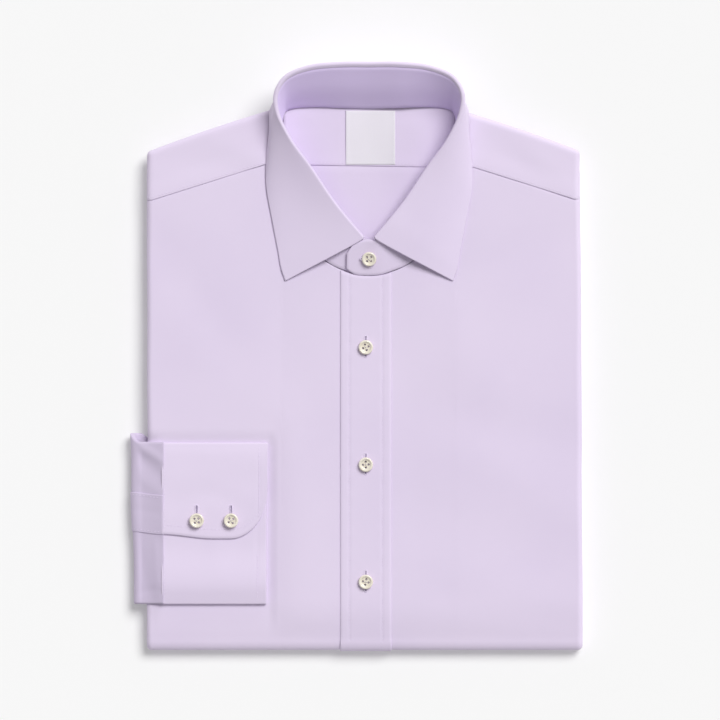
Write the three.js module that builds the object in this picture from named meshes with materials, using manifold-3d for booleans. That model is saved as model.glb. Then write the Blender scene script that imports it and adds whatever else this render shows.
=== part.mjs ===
// A long sleeve dress shirt, folded and lying on its back on a flat surface.
// Millimetres. +X is to the right as seen from above, +Y runs towards the collar, +Z is up.
// The origin is on the flat underside, at the middle of the folded body.
// Left and right in the names are the wearer's, so the wearer's right lies at negative X.
import * as THREE from "three";
import { mergeVertices } from "three/addons/utils/BufferGeometryUtils.js";
import Module from "manifold-3d";

const wasm = await Module();
wasm.setup();

// Cloth and clearances
const CLOTH = 1.5; // wall of a front, yoke or back panel
const COLLAR_CLOTH = 1.4; // fused wall of the collar
const CUFF_CLOTH = 1.2;
const SLEEVE_CLOTH = 1.2;
const PLACKET_CLOTH = 1.2;
const GAP = 0.3; // between sewn pieces

// Folded body
const BODY_HALF_WIDTH = 158.2;
const LEFT_TAPER = 0.006; // how much the wearer's left edge draws in, for each mm towards the collar
const BODY_BOTTOM_Y = -196.8;
const STACK = 16; // height of the folded stack at its edges
const SWELL = 1.2; // how much higher its middle is
const SWELL_MIDDLE_Y = -16;
const SWELL_HALF_LENGTH = 181;
const EDGE_RADIUS = 3.85; // round side and shoulder folds of the upper layers
const BOTTOM_RADIUS = STACK / 2; // round fold along the bottom
const FOLD_Y = BODY_BOTTOM_Y + BOTTOM_RADIUS;
const UNDER_RUN = 25; // how far the fronts run on under the bottom fold
const FLAT_HALF_WIDTH = BODY_HALF_WIDTH - EDGE_RADIUS;

// Shoulders and yoke
const SHOULDER_EDGE_Y = 164.8; // shoulder line at the side edge
const SHOULDER_SLOPE = 0.34;
const SHOULDER_BOW = 1;
const SHOULDER_LENGTH = 91; // from the side edge to the neck, across
const YOKE_SEAM_EDGE_Y = 128.6;
const YOKE_SEAM_SLOPE = 0.315;
const BACK_YOKE_SEAM_Y = 154.4; // seam between inner yoke and back, inside the neck

// Neck and collar
const COLLAR_X = 3; // the collar's centre line
const NECK_HALF_WIDTH = 63.5;
const NECK_MIDDLE_Y = 150;
const NECK_FRONT_DEPTH = 75; // from the neck's widest place down to the centre front
const NECK_TOP_HALF_WIDTH = 66.5;
const NECK_TOP_Y = 196;
const INSIDE_Z = 11.5; // inner face of the back and the inner yoke, seen through the neck
const INSIDE_HALF_WIDTH = 62;
const BACK_LOW_Y = 81; // how far down the back's inside is built, below the neck's front
const ROLL_RADIUS = 1.6; // of the collar's fold, at the middle of its wall
const ROLL_FLAP = 3; // leaf below the roll on the inside, down to the band's seam
const FRONT_DROOP = 0.08; // how far the leaf follows the band before it turns to its edge
const BACK_DROOP = 0.55;
const LEAF_REST = GAP + 0.15 + COLLAR_CLOTH / 2; // middle of the leaf over the cloth it rests on
const BAND_OVERLAP = 16; // how far each end of the band runs past the centre front
const BAND_FRONT_SLOPE = 0.2;
const BAND_SEAM_Y = 75.5; // neck seam at the centre front
const BAND_SEAM_Z = 16.4;
const BAND_DIP_Y = 164; // from here to the back the band goes down inside the neck
const BAND_LIFT = 1.8; // the wearer's left end lies on the right one
const BAND_LIFT_FULL = 18;
const BAND_LIFT_NONE = 32;

// Placket and buttons
const PLACKET_X = 0.6;
const PLACKET_HALF_WIDTH = 18.2;
const PLACKET_RISE = GAP + PLACKET_CLOTH;
const FRONT_MEETING_X = 1.1; // where the two fronts meet, under the placket
const BUTTON_RADIUS = 5.25;
const BUTTON_HEIGHT = 2.2;
const COLLAR_BUTTON_Y = 87;
const FIRST_BUTTON_Y = 23;
const BUTTON_SPACING = 85;
const FRONT_BUTTONS = 3;

// Sleeve end and cuff
const SLEEVE_LEFT_X = -170.4; // the outermost place of its turn
const SLEEVE_SEAM_X = -147.4; // where the cuff is sewn on
const SLEEVE_HIDDEN_X = -144;
const SLEEVE_TOP_Y = -45.5;
const SLEEVE_BOTTOM_Y = -162;
const SLEEVE_HALF_THICK = 1.7;
const SLEEVE_UPPER_Z = 18.3;
const SLEEVE_LOWER_Z = 5.4;
const SLEEVE_FLARE = 5.5; // how far the open turn stands out at its top end
const SLEEVE_DRAW_IN = 2.8; // the turn is tighter at its bottom end
const SLOT_ROOM = 3; // free space in the hidden layers beyond the sleeve's edges
const SLIT_TOP_Y = -84.3; // strip along the sleeve's slit
const SLIT_BOTTOM_Y = -112.4;
const CUFF_LEFT_X = SLEEVE_SEAM_X + GAP;
const CUFF_RIGHT_X = -70.6;
const CUFF_TOP_Y = -46;
const CUFF_BOTTOM_Y = -163.4;
const CUFF_OVERLAP_Y = -115.3; // edge of the upper end
const CUFF_UNDERLAP_Y = -88; // hidden edge of the lower end
const CUFF_CORNER_WIDTH = 21; // rounded corner of the upper end
const CUFF_CORNER_HEIGHT = 34;
const CUFF_BUTTON_Y = -102.5;
const CUFF_BUTTON_XS = [-121.9, -97];

// Label
const LABEL_LEFT_X = -13.8;
const LABEL_RIGHT_X = 21.8;
const LABEL_TOP_Y = 194.6;
const LABEL_BOTTOM_Y = 155.6;
const LABEL_CLOTH = 0.8;

// Sections of the collar from the centre front (first row) to the centre back (last row). Each gives the
// fold at its top, the leaf's edge and the band's neck seam, as distance from the collar's centre line, y
// and height. A height of null rests on the cloth below.
const COLLAR_SECTIONS = [
  { fold: [5, 103.2, 24], edge: [60.6, 71.6, null], seam: [8, 76.1, BAND_SEAM_Z] },
  { fold: [17.5, 115, 24.6], edge: [63.6, 80.5, null], seam: [27, 83.2, BAND_SEAM_Z] },
  { fold: [27.6, 129.5, 25.6], edge: [65.8, 93, null], seam: [43, 97.5, 16.3] },
  { fold: [42.6, 154.5, 28], edge: [70.3, 116.5, null], seam: [56.2, 119.3, 16.2] },
  { fold: [56.5, 173.5, 31.5], edge: [74.3, 140, null], seam: [62, 144, 16] },
  { fold: [65, 194.5, 35], edge: [74.2, 160, null], seam: [63.2, 168, 15.5] },
  { fold: [66.6, 207, 37], edge: [72.3, 178, null], seam: [63.4, 184, 14] },
  { fold: [60.5, 218.6, 38], edge: [70.6, 197.4, 16.6], seam: [60.5, 194.4, 12.7] },
  { fold: [43.9, 225.8, 38.2], edge: [60, 202.4, 7], seam: [46, 197.4, 12.7] },
  { fold: [21, 228.3, 38], edge: [32, 201.2, 3.8], seam: [22, 197, 12.7] },
  { fold: [0, 228.4, 38], edge: [0, 200.4, 3.2], seam: [0, 196.6, 12.7] },
];

// Ends of the band past the centre front, as distance past it, the y of the top and the y of the seam
const BAND_END_SECTIONS = [
  { past: BAND_OVERLAP, topY: 91, seamY: 80 },
  { past: 0.65 * BAND_OVERLAP, topY: 98, seamY: 76.3 },
  { past: 0.1 * BAND_OVERLAP, topY: 100.8, seamY: BAND_SEAM_Y },
];

// Hidden layers of the lower stack, from the floor up
const LOWER_LAYERS = [
  { bottom: 0, top: 2.8, inset: 0.2, shoulderInset: 9 },
  { bottom: 2.5, top: 5.3, inset: 1.4, shoulderInset: 12 },
  { bottom: 5, top: 7.7, inset: 0.5, shoulderInset: 7 },
];

const mix = THREE.MathUtils.lerp;
const smooth = THREE.MathUtils.smoothstep;

// Even steps from a to b, both included
function steps(a, b, count) {
  return Array.from({ length: count + 1 }, (unused, i) => mix(a, b, i / count));
}

// Closed solid between an outer and an inner skin, each a function of two parameters
function wall(outer, inner, us, vs) {
  const wide = us.length;
  const high = vs.length;
  const positions = [];
  const index = [];
  [outer, inner].forEach((skin) => {
    vs.forEach((v) => us.forEach((u) => positions.push(...skin(u, v))));
  });
  const at = (layer, i, j) => (layer * high + j) * wide + i;
  const quad = (a, b, c, d) => index.push(a, b, c, a, c, d);
  for (let j = 0; j < high - 1; j++) {
    for (let i = 0; i < wide - 1; i++) {
      quad(at(0, i, j), at(0, i + 1, j), at(0, i + 1, j + 1), at(0, i, j + 1));
      quad(at(1, i, j), at(1, i, j + 1), at(1, i + 1, j + 1), at(1, i + 1, j));
    }
  }
  for (let i = 0; i < wide - 1; i++) {
    quad(at(0, i, 0), at(1, i, 0), at(1, i + 1, 0), at(0, i + 1, 0));
    quad(at(0, i, high - 1), at(0, i + 1, high - 1), at(1, i + 1, high - 1), at(1, i, high - 1));
  }
  for (let j = 0; j < high - 1; j++) {
    quad(at(0, 0, j), at(0, 0, j + 1), at(1, 0, j + 1), at(1, 0, j));
    quad(at(0, wide - 1, j), at(1, wide - 1, j), at(1, wide - 1, j + 1), at(0, wide - 1, j + 1));
  }
  return facingOut(geometryFrom(positions, index));
}

// Closed tube wall: rings go round in u (0 to 1) and open ends lie at the first and last v
function tubeWall(outer, inner, around, vs) {
  const us = steps(0, 1, around).slice(0, around);
  const high = vs.length;
  const positions = [];
  const index = [];
  [outer, inner].forEach((skin) => {
    vs.forEach((v) => us.forEach((u) => positions.push(...skin(u, v))));
  });
  const at = (layer, i, j) => (layer * high + j) * around + (i % around);
  const quad = (a, b, c, d) => index.push(a, b, c, a, c, d);
  for (let i = 0; i < around; i++) {
    for (let j = 0; j < high - 1; j++) {
      quad(at(0, i, j), at(0, i + 1, j), at(0, i + 1, j + 1), at(0, i, j + 1));
      quad(at(1, i, j), at(1, i, j + 1), at(1, i + 1, j + 1), at(1, i + 1, j));
    }
    quad(at(0, i, 0), at(1, i, 0), at(1, i + 1, 0), at(0, i + 1, 0));
    quad(at(0, i, high - 1), at(0, i + 1, high - 1), at(1, i + 1, high - 1), at(1, i, high - 1));
  }
  return facingOut(geometryFrom(positions, index));
}

function geometryFrom(positions, index) {
  const geometry = new THREE.BufferGeometry();
  geometry.setAttribute("position", new THREE.Float32BufferAttribute(positions, 3));
  geometry.setIndex(index);
  return geometry;
}

// Turns every face round when the faces point inwards
function facingOut(geometry) {
  const position = geometry.attributes.position;
  const order = geometry.index.array;
  const corner = [0, 1, 2].map(() => new THREE.Vector3());
  let volume = 0;
  for (let i = 0; i < order.length; i += 3) {
    corner.forEach((point, k) => point.fromBufferAttribute(position, order[i + k]));
    volume += corner[0].dot(corner[1].clone().cross(corner[2]));
  }
  if (volume < 0) {
    for (let i = 0; i < order.length; i += 3) {
      [order[i + 1], order[i + 2]] = [order[i + 2], order[i + 1]];
    }
  }
  return geometry;
}

function solidFrom(geometry) {
  const bare = geometry.clone();
  bare.deleteAttribute("normal");
  bare.deleteAttribute("uv");
  const merged = mergeVertices(bare, 1e-4);
  return new wasm.Manifold(
    new wasm.Mesh({
      numProp: 3,
      vertProperties: new Float32Array(merged.attributes.position.array),
      triVerts: new Uint32Array(merged.index.array),
    }),
  );
}

function geometryOf(solid) {
  const mesh = solid.getMesh();
  const positions = [];
  for (let i = 0; i < mesh.numVert; i++) {
    positions.push(...mesh.vertProperties.subarray(i * mesh.numProp, i * mesh.numProp + 3));
  }
  return geometryFrom(positions, Array.from(mesh.triVerts));
}

// Half of the folded body's width on one side (-1 or 1) at y
function bodyHalfWidth(side, y) {
  return side < 0 ? BODY_HALF_WIDTH : BODY_HALF_WIDTH - LEFT_TAPER * (y - BODY_BOTTOM_Y);
}

// Height of the fronts' outer face
function frontHeight(x, y) {
  const across = Math.max(0, 1 - (x / BODY_HALF_WIDTH) ** 2);
  const along = Math.max(0, 1 - ((y - SWELL_MIDDLE_Y) / SWELL_HALF_LENGTH) ** 2);
  return STACK + SWELL * across * along;
}

function shoulderY(x) {
  const inward = BODY_HALF_WIDTH - Math.abs(x);
  const bow = SHOULDER_BOW * Math.sin((Math.PI * Math.min(inward, SHOULDER_LENGTH)) / SHOULDER_LENGTH);
  return SHOULDER_EDGE_Y + SHOULDER_SLOPE * inward + bow;
}

function yokeSeamY(x) {
  return YOKE_SEAM_EDGE_Y + YOKE_SEAM_SLOPE * (BODY_HALF_WIDTH - Math.abs(x));
}

// Lower edge of the neck hole, w from the collar's centre line
function neckFrontY(w) {
  const share = Math.min(1, Math.abs(w) / NECK_HALF_WIDTH);
  return NECK_MIDDLE_Y - NECK_FRONT_DEPTH * Math.sqrt(1 - share * share);
}

// A point on the folded body: c runs across from the centre line and on round the side fold, s runs along
// it towards the collar and on round the bottom fold, and depth goes in from the outer face.
function bodyPoint(c, s, depth) {
  const side = c < 0 ? -1 : 1;
  const y = Math.max(s, FOLD_Y);
  const flat = bodyHalfWidth(side, y) - EDGE_RADIUS;
  const over = Math.max(0, Math.abs(c) - FLAT_HALF_WIDTH);
  const turn = over / EDGE_RADIUS;
  const reach = EDGE_RADIUS - depth;
  const drawIn = (FLAT_HALF_WIDTH - flat) * (Math.min(Math.abs(c), FLAT_HALF_WIDTH) / FLAT_HALF_WIDTH) ** 4;
  const x = side * (over > 0 ? flat + reach * Math.sin(turn) : Math.abs(c) - drawIn);
  let deep = over > 0 ? EDGE_RADIUS - reach * Math.cos(turn) : depth;
  if (s >= FOLD_Y) {
    return [x, y, frontHeight(x, y) - deep];
  }
  const bend = Math.min(Math.PI, (FOLD_Y - s) / BOTTOM_RADIUS);
  const beyond = Math.max(0, FOLD_Y - s - Math.PI * BOTTOM_RADIUS);
  deep += placketRecess(x, bend);
  const radius = BOTTOM_RADIUS - deep;
  const swell = (frontHeight(x, FOLD_Y) - STACK) * Math.max(0, Math.cos(bend));
  return [x, FOLD_Y - radius * Math.sin(bend) + beyond, BOTTOM_RADIUS + radius * Math.cos(bend) + swell];
}

// The fronts draw in under the placket as they turn under, so that the placket ends flush with the floor
function placketRecess(x, bend) {
  const zone = 1 - smooth(Math.abs(x - PLACKET_X), PLACKET_HALF_WIDTH + 0.4, PLACKET_HALF_WIDTH + 6);
  return PLACKET_RISE * zone * smooth(bend, 0.25 * Math.PI, 0.95 * Math.PI);
}

// Stations down the body: along the flat, round the bottom fold and under it
function lengthwise(v) {
  return v <= 1 ? null : FOLD_Y - (v - 1) * (Math.PI * BOTTOM_RADIUS + UNDER_RUN);
}

const WRAP_SHARE = (Math.PI * BOTTOM_RADIUS) / (Math.PI * BOTTOM_RADIUS + UNDER_RUN);
const LENGTH_STATIONS = [...steps(0, 1, 11), ...steps(1, 1 + WRAP_SHARE, 8).slice(1), 2];

function frontPanel(side) {
  const flat = FLAT_HALF_WIDTH;
  const inner = [FRONT_MEETING_X + (side * GAP) / 2];
  const near = [12, 19, 25, 34, 44, 53, 59, 62, 65, 69].map((w) => side * w);
  const far = steps(85, flat, 4).map((w) => side * w);
  const round = steps(flat, flat + Math.PI * EDGE_RADIUS, 6).slice(1).map((w) => side * w);
  const topOf = (c) => {
    const w = Math.abs(c - COLLAR_X);
    return Math.min(yokeSeamY(c), w < NECK_HALF_WIDTH ? neckFrontY(w) : Infinity) - GAP / 2;
  };
  const skin = (depth) => (c, v) => {
    const x = side * Math.min(Math.abs(c), flat);
    return bodyPoint(c, lengthwise(v) ?? mix(topOf(x), FOLD_Y, v), depth);
  };
  return wall(skin(0), skin(CLOTH), [...inner, ...near, ...far, ...round], LENGTH_STATIONS);
}

function placket() {
  const skin = (depth) => (x, v) => {
    const top = neckFrontY(x - COLLAR_X) - 2 * GAP;
    return bodyPoint(x, lengthwise(v) ?? mix(top, FOLD_Y, v), depth);
  };
  const xs = steps(PLACKET_X - PLACKET_HALF_WIDTH, PLACKET_X + PLACKET_HALF_WIDTH, 3);
  return wall(skin(-PLACKET_RISE), skin(-GAP), xs, LENGTH_STATIONS);
}

// A yoke half: from its front seam up to the shoulder line and round it, and round the side fold
function yokeHalf(side) {
  const flat = bodyHalfWidth(side, SHOULDER_EDGE_Y) - EDGE_RADIUS;
  const slant = Math.hypot(1, SHOULDER_SLOPE);
  const shoulderNormal = [SHOULDER_SLOPE / slant, 1 / slant];
  const round = Math.PI * EDGE_RADIUS;
  const skin = (depth) => (c, v) => {
    const share = Math.min(1, v);
    const neck = mix(NECK_HALF_WIDTH + GAP, NECK_TOP_HALF_WIDTH, share) + side * COLLAR_X;
    const a = Math.max(0, c - 1) * round;
    const b = Math.max(0, v - 1) * round;
    const x = mix(neck, flat, Math.min(1, c));
    const y = mix(yokeSeamY(x) + GAP / 2, shoulderY(x) - EDGE_RADIUS * slant, share);
    const far = Math.max(a, b);
    const turn = far / EDGE_RADIUS;
    const reach = EDGE_RADIUS - depth;
    const dx = a + b * shoulderNormal[0];
    const dy = b * shoulderNormal[1];
    const size = Math.hypot(dx, dy) || 1;
    const out = far > 0 ? reach * Math.sin(turn) : 0;
    const deep = far > 0 ? EDGE_RADIUS - reach * Math.cos(turn) : depth;
    const px = side * (x + (out * dx) / size);
    const py = y + (out * dy) / size;
    return [px, py, frontHeight(px, py) - deep];
  };
  const stations = [...steps(0, 1, 5), ...steps(1, 2, 6).slice(1)];
  return wall(skin(0), skin(CLOTH), stations, [...steps(0, 1, 3), ...steps(1, 2, 6).slice(1)]);
}

// Flat panel seen inside the neck
function insidePanel(lowY, highY) {
  const skin = (z) => (x, y) => [x, y, z];
  const xs = steps(COLLAR_X - INSIDE_HALF_WIDTH, COLLAR_X + INSIDE_HALF_WIDTH, 6);
  return wall(skin(INSIDE_Z), skin(INSIDE_Z - CLOTH), xs, steps(lowY, highY, 4));
}

// Smooth curve through one column of the collar's sections, from the wearer's right point (u = 0) round the
// back of the neck to the wearer's left point (u = 1)
function collarCurve(column) {
  const half = (side) =>
    COLLAR_SECTIONS.map((section) => {
      const [w, y, z] = section[column];
      const x = COLLAR_X + side * w;
      const lift = side > 0 ? bandLift(w) * (column === "edge" ? 0 : 1) : 0;
      return new THREE.Vector3(x, y, (z ?? frontHeight(x, y) + LEAF_REST) + lift);
    });
  return new THREE.CatmullRomCurve3([...half(-1), ...half(1).slice(0, -1).reverse()]);
}

// The wearer's left end of the collar lies on the right one
function bandLift(w) {
  return BAND_LIFT * (1 - smooth(w, BAND_LIFT_FULL, BAND_LIFT_NONE));
}

const foldCurve = collarCurve("fold");
const edgeCurve = collarCurve("edge");
const seamCurve = collarCurve("seam");

// Directions at one section of the collar: along the fold, down the band, and out of the neck
function collarFrame(u) {
  const fold = foldCurve.getPoint(u);
  const along = foldCurve.getPoint(Math.min(1, u + 0.002)).sub(foldCurve.getPoint(Math.max(0, u - 0.002)));
  const down = seamCurve.getPoint(u).sub(fold).normalize();
  const out = along.normalize().clone().cross(down).normalize();
  const base = fold.clone().addScaledVector(down, ROLL_RADIUS).addScaledVector(out, -ROLL_RADIUS);
  return { down, out, base };
}

// Middle of the leaf's wall: v from -2 to -1 is the flap inside, to 0 the roll, and to 1 the leaf itself
function leafMiddle(u, v) {
  const { down, out, base } = collarFrame(u);
  if (v <= -1) {
    return base.addScaledVector(down, -(v + 1) * ROLL_FLAP);
  }
  if (v <= 0) {
    const turn = (v + 1) * Math.PI;
    base.addScaledVector(out, ROLL_RADIUS * (1 - Math.cos(turn)));
    return base.addScaledVector(down, -ROLL_RADIUS * Math.sin(turn));
  }
  const start = base.addScaledVector(out, 2 * ROLL_RADIUS);
  const end = edgeCurve.getPoint(u);
  const chord = end.clone().sub(start);
  const droop = mix(BACK_DROOP, FRONT_DROOP, smooth(Math.abs(2 * u - 1), 0.5, 0.95));
  const fall = down.clone().multiplyScalar(droop * chord.length());
  return new THREE.Vector3(
    ...["x", "y", "z"].map((k) => hermite(start[k], end[k], fall[k], chord[k] * 0.9, v)),
  );
}

function hermite(a, b, startSlope, endSlope, t) {
  const t2 = t * t;
  const t3 = t2 * t;
  return (
    (2 * t3 - 3 * t2 + 1) * a + (t3 - 2 * t2 + t) * startSlope + (3 * t2 - 2 * t3) * b + (t3 - t2) * endSlope
  );
}

// Height of the band's right end at the centre front
function bandFrontZ(y) {
  return BAND_SEAM_Z + BAND_FRONT_SLOPE * (y - BAND_SEAM_Y);
}

// Top and seam lines of the band, u from 0 to 1 between its two overlapping ends
function bandLine(top) {
  const end = (side) =>
    BAND_END_SECTIONS.map(({ past, topY, seamY }) => {
      const y = top ? topY : seamY;
      const z = bandFrontZ(y) + (side > 0 ? BAND_LIFT : 0);
      return new THREE.Vector3(COLLAR_X - side * past, y, z);
    });
  const round = steps(0, 1, 4 * (COLLAR_SECTIONS.length - 1)).map((u) => {
    if (!top) {
      return seamCurve.getPoint(u);
    }
    const { down, base } = collarFrame(u);
    return base.addScaledVector(down, ROLL_FLAP + 2 * GAP);
  });
  return new THREE.CatmullRomCurve3([...end(-1), ...round, ...end(1).reverse()]);
}

const bandTop = bandLine(true);
const bandSeam = bandLine(false);

function bandMiddle(u, v) {
  return bandTop.getPoint(u).lerp(bandSeam.getPoint(u), v);
}

// Wall of even thickness about a middle surface
function thickWall(middle, thickness, us, vs) {
  const step = 1e-3;
  const skin = (shift) => (u, v) => {
    const du = middle(Math.min(1, u + step), v).sub(middle(Math.max(0, u - step), v));
    const low = Math.max(vs[0], v - step);
    const high = Math.min(vs[vs.length - 1], v + step);
    const dv = middle(u, high).sub(middle(u, low));
    const normal = du.cross(dv).normalize();
    return middle(u, v).addScaledVector(normal, shift).toArray();
  };
  return wall(skin(thickness / 2), skin(-thickness / 2), us, vs);
}

function collarLeaf() {
  const vs = [-2, ...steps(-1, 0, 5), ...steps(0, 1, 5).slice(1)];
  return thickWall(leafMiddle, COLLAR_CLOTH, steps(0, 1, 40), vs);
}

function collarStand() {
  return thickWall(bandMiddle, COLLAR_CLOTH, steps(0, 1, 48), steps(0, 1, 3));
}

// Path of the sleeve end in plan x and height, from its hidden end out, round the turn and over the front
const TURN_RADIUS = (SLEEVE_UPPER_Z - SLEEVE_LOWER_Z) / 2;
const TURN_X = SLEEVE_LEFT_X + TURN_RADIUS + SLEEVE_HALF_THICK;
const LOWER_RUN = SLEEVE_HIDDEN_X - TURN_X;
const UPPER_RUN = SLEEVE_SEAM_X - TURN_X;
const TURN_RUN = Math.PI * TURN_RADIUS;

function sleevePath(run) {
  if (run < LOWER_RUN) {
    return { x: SLEEVE_HIDDEN_X - run, z: SLEEVE_LOWER_Z, nx: 0, nz: -1 };
  }
  const turn = Math.min(Math.PI, (run - LOWER_RUN) / TURN_RADIUS);
  const nx = -Math.sin(turn);
  const nz = -Math.cos(turn);
  const middleZ = (SLEEVE_UPPER_Z + SLEEVE_LOWER_Z) / 2;
  const onward = Math.max(0, run - LOWER_RUN - TURN_RUN);
  const x = TURN_X + TURN_RADIUS * nx + onward;
  return { x, z: middleZ + TURN_RADIUS * nz, nx, nz };
}

// A point of the sleeve end: run along its path, y across it, and out from its middle
function sleevePoint(run, y, out) {
  const { x, z, nx, nz } = sleevePath(run);
  const near = 1 - smooth(Math.abs(run - LOWER_RUN - 0.6 * TURN_RUN), 0.3 * TURN_RUN, 0.95 * TURN_RUN);
  const down = (SLEEVE_TOP_Y - y) / (SLEEVE_TOP_Y - SLEEVE_BOTTOM_Y);
  const flare = SLEEVE_FLARE * near * (1 - smooth(down, 0, 0.25));
  const drawIn = SLEEVE_DRAW_IN * smooth(down, 0.3, 0.8) * -nx;
  return [x + nx * out + drawIn, y + flare, z + nz * out];
}

function sleeveEnd() {
  const middleY = (SLEEVE_TOP_Y + SLEEVE_BOTTOM_Y) / 2;
  const halfWidth = (SLEEVE_TOP_Y - SLEEVE_BOTTOM_Y) / 2;
  const skin = (inset) => (u, run) => {
    const angle = 2 * Math.PI * u;
    const radius = SLEEVE_HALF_THICK - inset;
    const across = Math.cos(angle);
    const y = middleY + Math.sign(across) * Math.min(1, Math.abs(across) * 1.35) ** 0.8 * (halfWidth - inset);
    const flat = Math.min(1, Math.abs(Math.sin(angle)) * 1.9);
    return sleevePoint(run, y, Math.sign(Math.sin(angle)) * flat * radius);
  };
  const runs = [
    ...steps(0, LOWER_RUN, 2),
    ...steps(LOWER_RUN, LOWER_RUN + TURN_RUN, 8).slice(1),
    ...steps(LOWER_RUN + TURN_RUN, LOWER_RUN + TURN_RUN + UPPER_RUN, 2).slice(1),
  ];
  return tubeWall(skin(0), skin(SLEEVE_CLOTH), 20, runs);
}

function sleevePlacket() {
  const start = LOWER_RUN + 0.35 * TURN_RUN;
  const end = LOWER_RUN + TURN_RUN + UPPER_RUN;
  const skin = (out) => (y, run) => sleevePoint(run, y, out);
  const outer = SLEEVE_HALF_THICK + GAP + 1;
  const runs = [...steps(start, LOWER_RUN + TURN_RUN, 5), end];
  return wall(skin(outer), skin(SLEEVE_HALF_THICK + GAP), steps(SLIT_BOTTOM_Y, SLIT_TOP_Y, 2), runs);
}

// The cuff is one band laid flat in three levels: v from 0 to 1 is the end that lies below, on to 2 the
// side on the front panel, and to 3 the end that lies above
const CUFF_LEVELS = [0, 1, 2].map((n) => GAP + CUFF_CLOTH / 2 + n * (CUFF_CLOTH + GAP));
const CUFF_BEND = (CUFF_LEVELS[1] - CUFF_LEVELS[0]) / 2;
const CUFF_TOP_BEND = 0.9;

function cuffEndY(x) {
  const along = Math.max(0, x - (CUFF_RIGHT_X - CUFF_CORNER_WIDTH)) / CUFF_CORNER_WIDTH;
  return CUFF_OVERLAP_Y + CUFF_CORNER_HEIGHT * (1 - Math.sqrt(Math.max(0, 1 - along * along)));
}

function cuffMiddle(x, v) {
  const low = CUFF_BOTTOM_Y + CUFF_BEND + CUFF_CLOTH / 2;
  const high = CUFF_TOP_Y - CUFF_TOP_BEND - CUFF_CLOTH / 2;
  let y;
  let level;
  if (v <= 0.8) {
    y = mix(CUFF_UNDERLAP_Y, low, v / 0.8);
    level = CUFF_LEVELS[1];
  } else if (v <= 1) {
    const turn = ((v - 0.8) / 0.2) * Math.PI;
    y = low - CUFF_BEND * Math.sin(turn);
    level = CUFF_LEVELS[0] + CUFF_BEND * (1 + Math.cos(turn));
  } else if (v <= 1.8) {
    y = mix(low, high, (v - 1) / 0.8);
    level = CUFF_LEVELS[0];
  } else if (v <= 2) {
    const turn = ((v - 1.8) / 0.2) * Math.PI;
    y = high + CUFF_TOP_BEND * Math.sin(turn);
    level = CUFF_LEVELS[0] + CUFF_TOP_BEND * (1 - Math.cos(turn));
  } else {
    y = mix(high, cuffEndY(x), v - 2);
    const rise = smooth(high - y, 2, high - CUFF_UNDERLAP_Y - 6);
    level = mix(CUFF_LEVELS[0] + 2 * CUFF_TOP_BEND, CUFF_LEVELS[2], rise);
  }
  return { y, level };
}

function cuff() {
  const step = 1e-3;
  const skin = (shift) => (x, v) => {
    const here = cuffMiddle(x, v);
    const next = cuffMiddle(x, Math.min(3, v + step));
    const last = cuffMiddle(x, Math.max(0, v - step));
    const dy = next.y - last.y;
    const dz = next.level - last.level;
    const size = Math.hypot(dy, dz);
    const y = here.y + (shift * dz) / size;
    return [x, y, frontHeight(x, y) + here.level - (shift * dy) / size];
  };
  const corner = CUFF_RIGHT_X - CUFF_CORNER_WIDTH;
  const bow = steps(0, Math.PI / 2, 5).map((angle) => corner + CUFF_CORNER_WIDTH * Math.sin(angle));
  const xs = [...steps(CUFF_LEFT_X, corner, 3).slice(0, 3), ...bow];
  const vs = [
    ...steps(0, 0.8, 3),
    ...steps(0.8, 1, 4).slice(1),
    ...steps(1, 1.8, 3).slice(1),
    ...steps(1.8, 2, 4).slice(1),
    ...steps(2, 3, 6).slice(1),
  ];
  return wall(skin(CUFF_CLOTH / 2), skin(-CUFF_CLOTH / 2), xs, vs);
}

// Round button with a raised rim and a dished middle
function button() {
  const profile = [
    [0, 0],
    [0.82, 0],
    [1, 0.4],
    [0.96, 0.85],
    [0.84, 1],
    [0.7, 0.88],
    [0.6, 0.62],
    [0, 0.56],
  ];
  const points = profile.map(([r, h]) => new THREE.Vector2(r * BUTTON_RADIUS, h * BUTTON_HEIGHT));
  return new THREE.LatheGeometry(points, 16).rotateX(Math.PI / 2);
}

function label() {
  const skin = (z) => (x, y) => [x, y, INSIDE_Z + z];
  const xs = steps(LABEL_LEFT_X, LABEL_RIGHT_X, 2);
  return wall(skin(GAP + LABEL_CLOTH), skin(GAP), xs, steps(LABEL_BOTTOM_Y, LABEL_TOP_Y, 2));
}

// Slab with a rounded rim, from an outline of the body drawn in by inset
function roundedSlab({ bottom, top, inset, lowY, shoulderInset }) {
  const rim = (top - bottom) / 2 - 0.01;
  const left = BODY_HALF_WIDTH - inset - rim;
  const right = bodyHalfWidth(1, SHOULDER_EDGE_Y) - inset - rim;
  const rightLow = bodyHalfWidth(1, lowY) - inset - rim;
  const shoulder = shoulderInset + rim;
  const topX = NECK_TOP_HALF_WIDTH;
  const outline = [
    [-left, lowY + rim],
    [rightLow, lowY + rim],
    [right, shoulderY(right) - shoulder],
    [topX, NECK_TOP_Y - shoulder],
    [-topX, NECK_TOP_Y - shoulder],
    [-left, shoulderY(left) - shoulder],
  ];
  const shape = new THREE.Shape(outline.map(([x, y]) => new THREE.Vector2(x, y)));
  const geometry = new THREE.ExtrudeGeometry(shape, {
    depth: top - bottom - 2 * rim,
    bevelThickness: rim,
    bevelSize: rim,
    bevelSegments: 3,
  });
  return solidFrom(geometry.translate(0, 0, bottom + rim));
}

function block(low, high) {
  const size = high.map((value, k) => value - low[k]);
  const geometry = new THREE.BoxGeometry(...size);
  return solidFrom(geometry.translate(...low.map((value, k) => value + size[k] / 2)));
}

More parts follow.
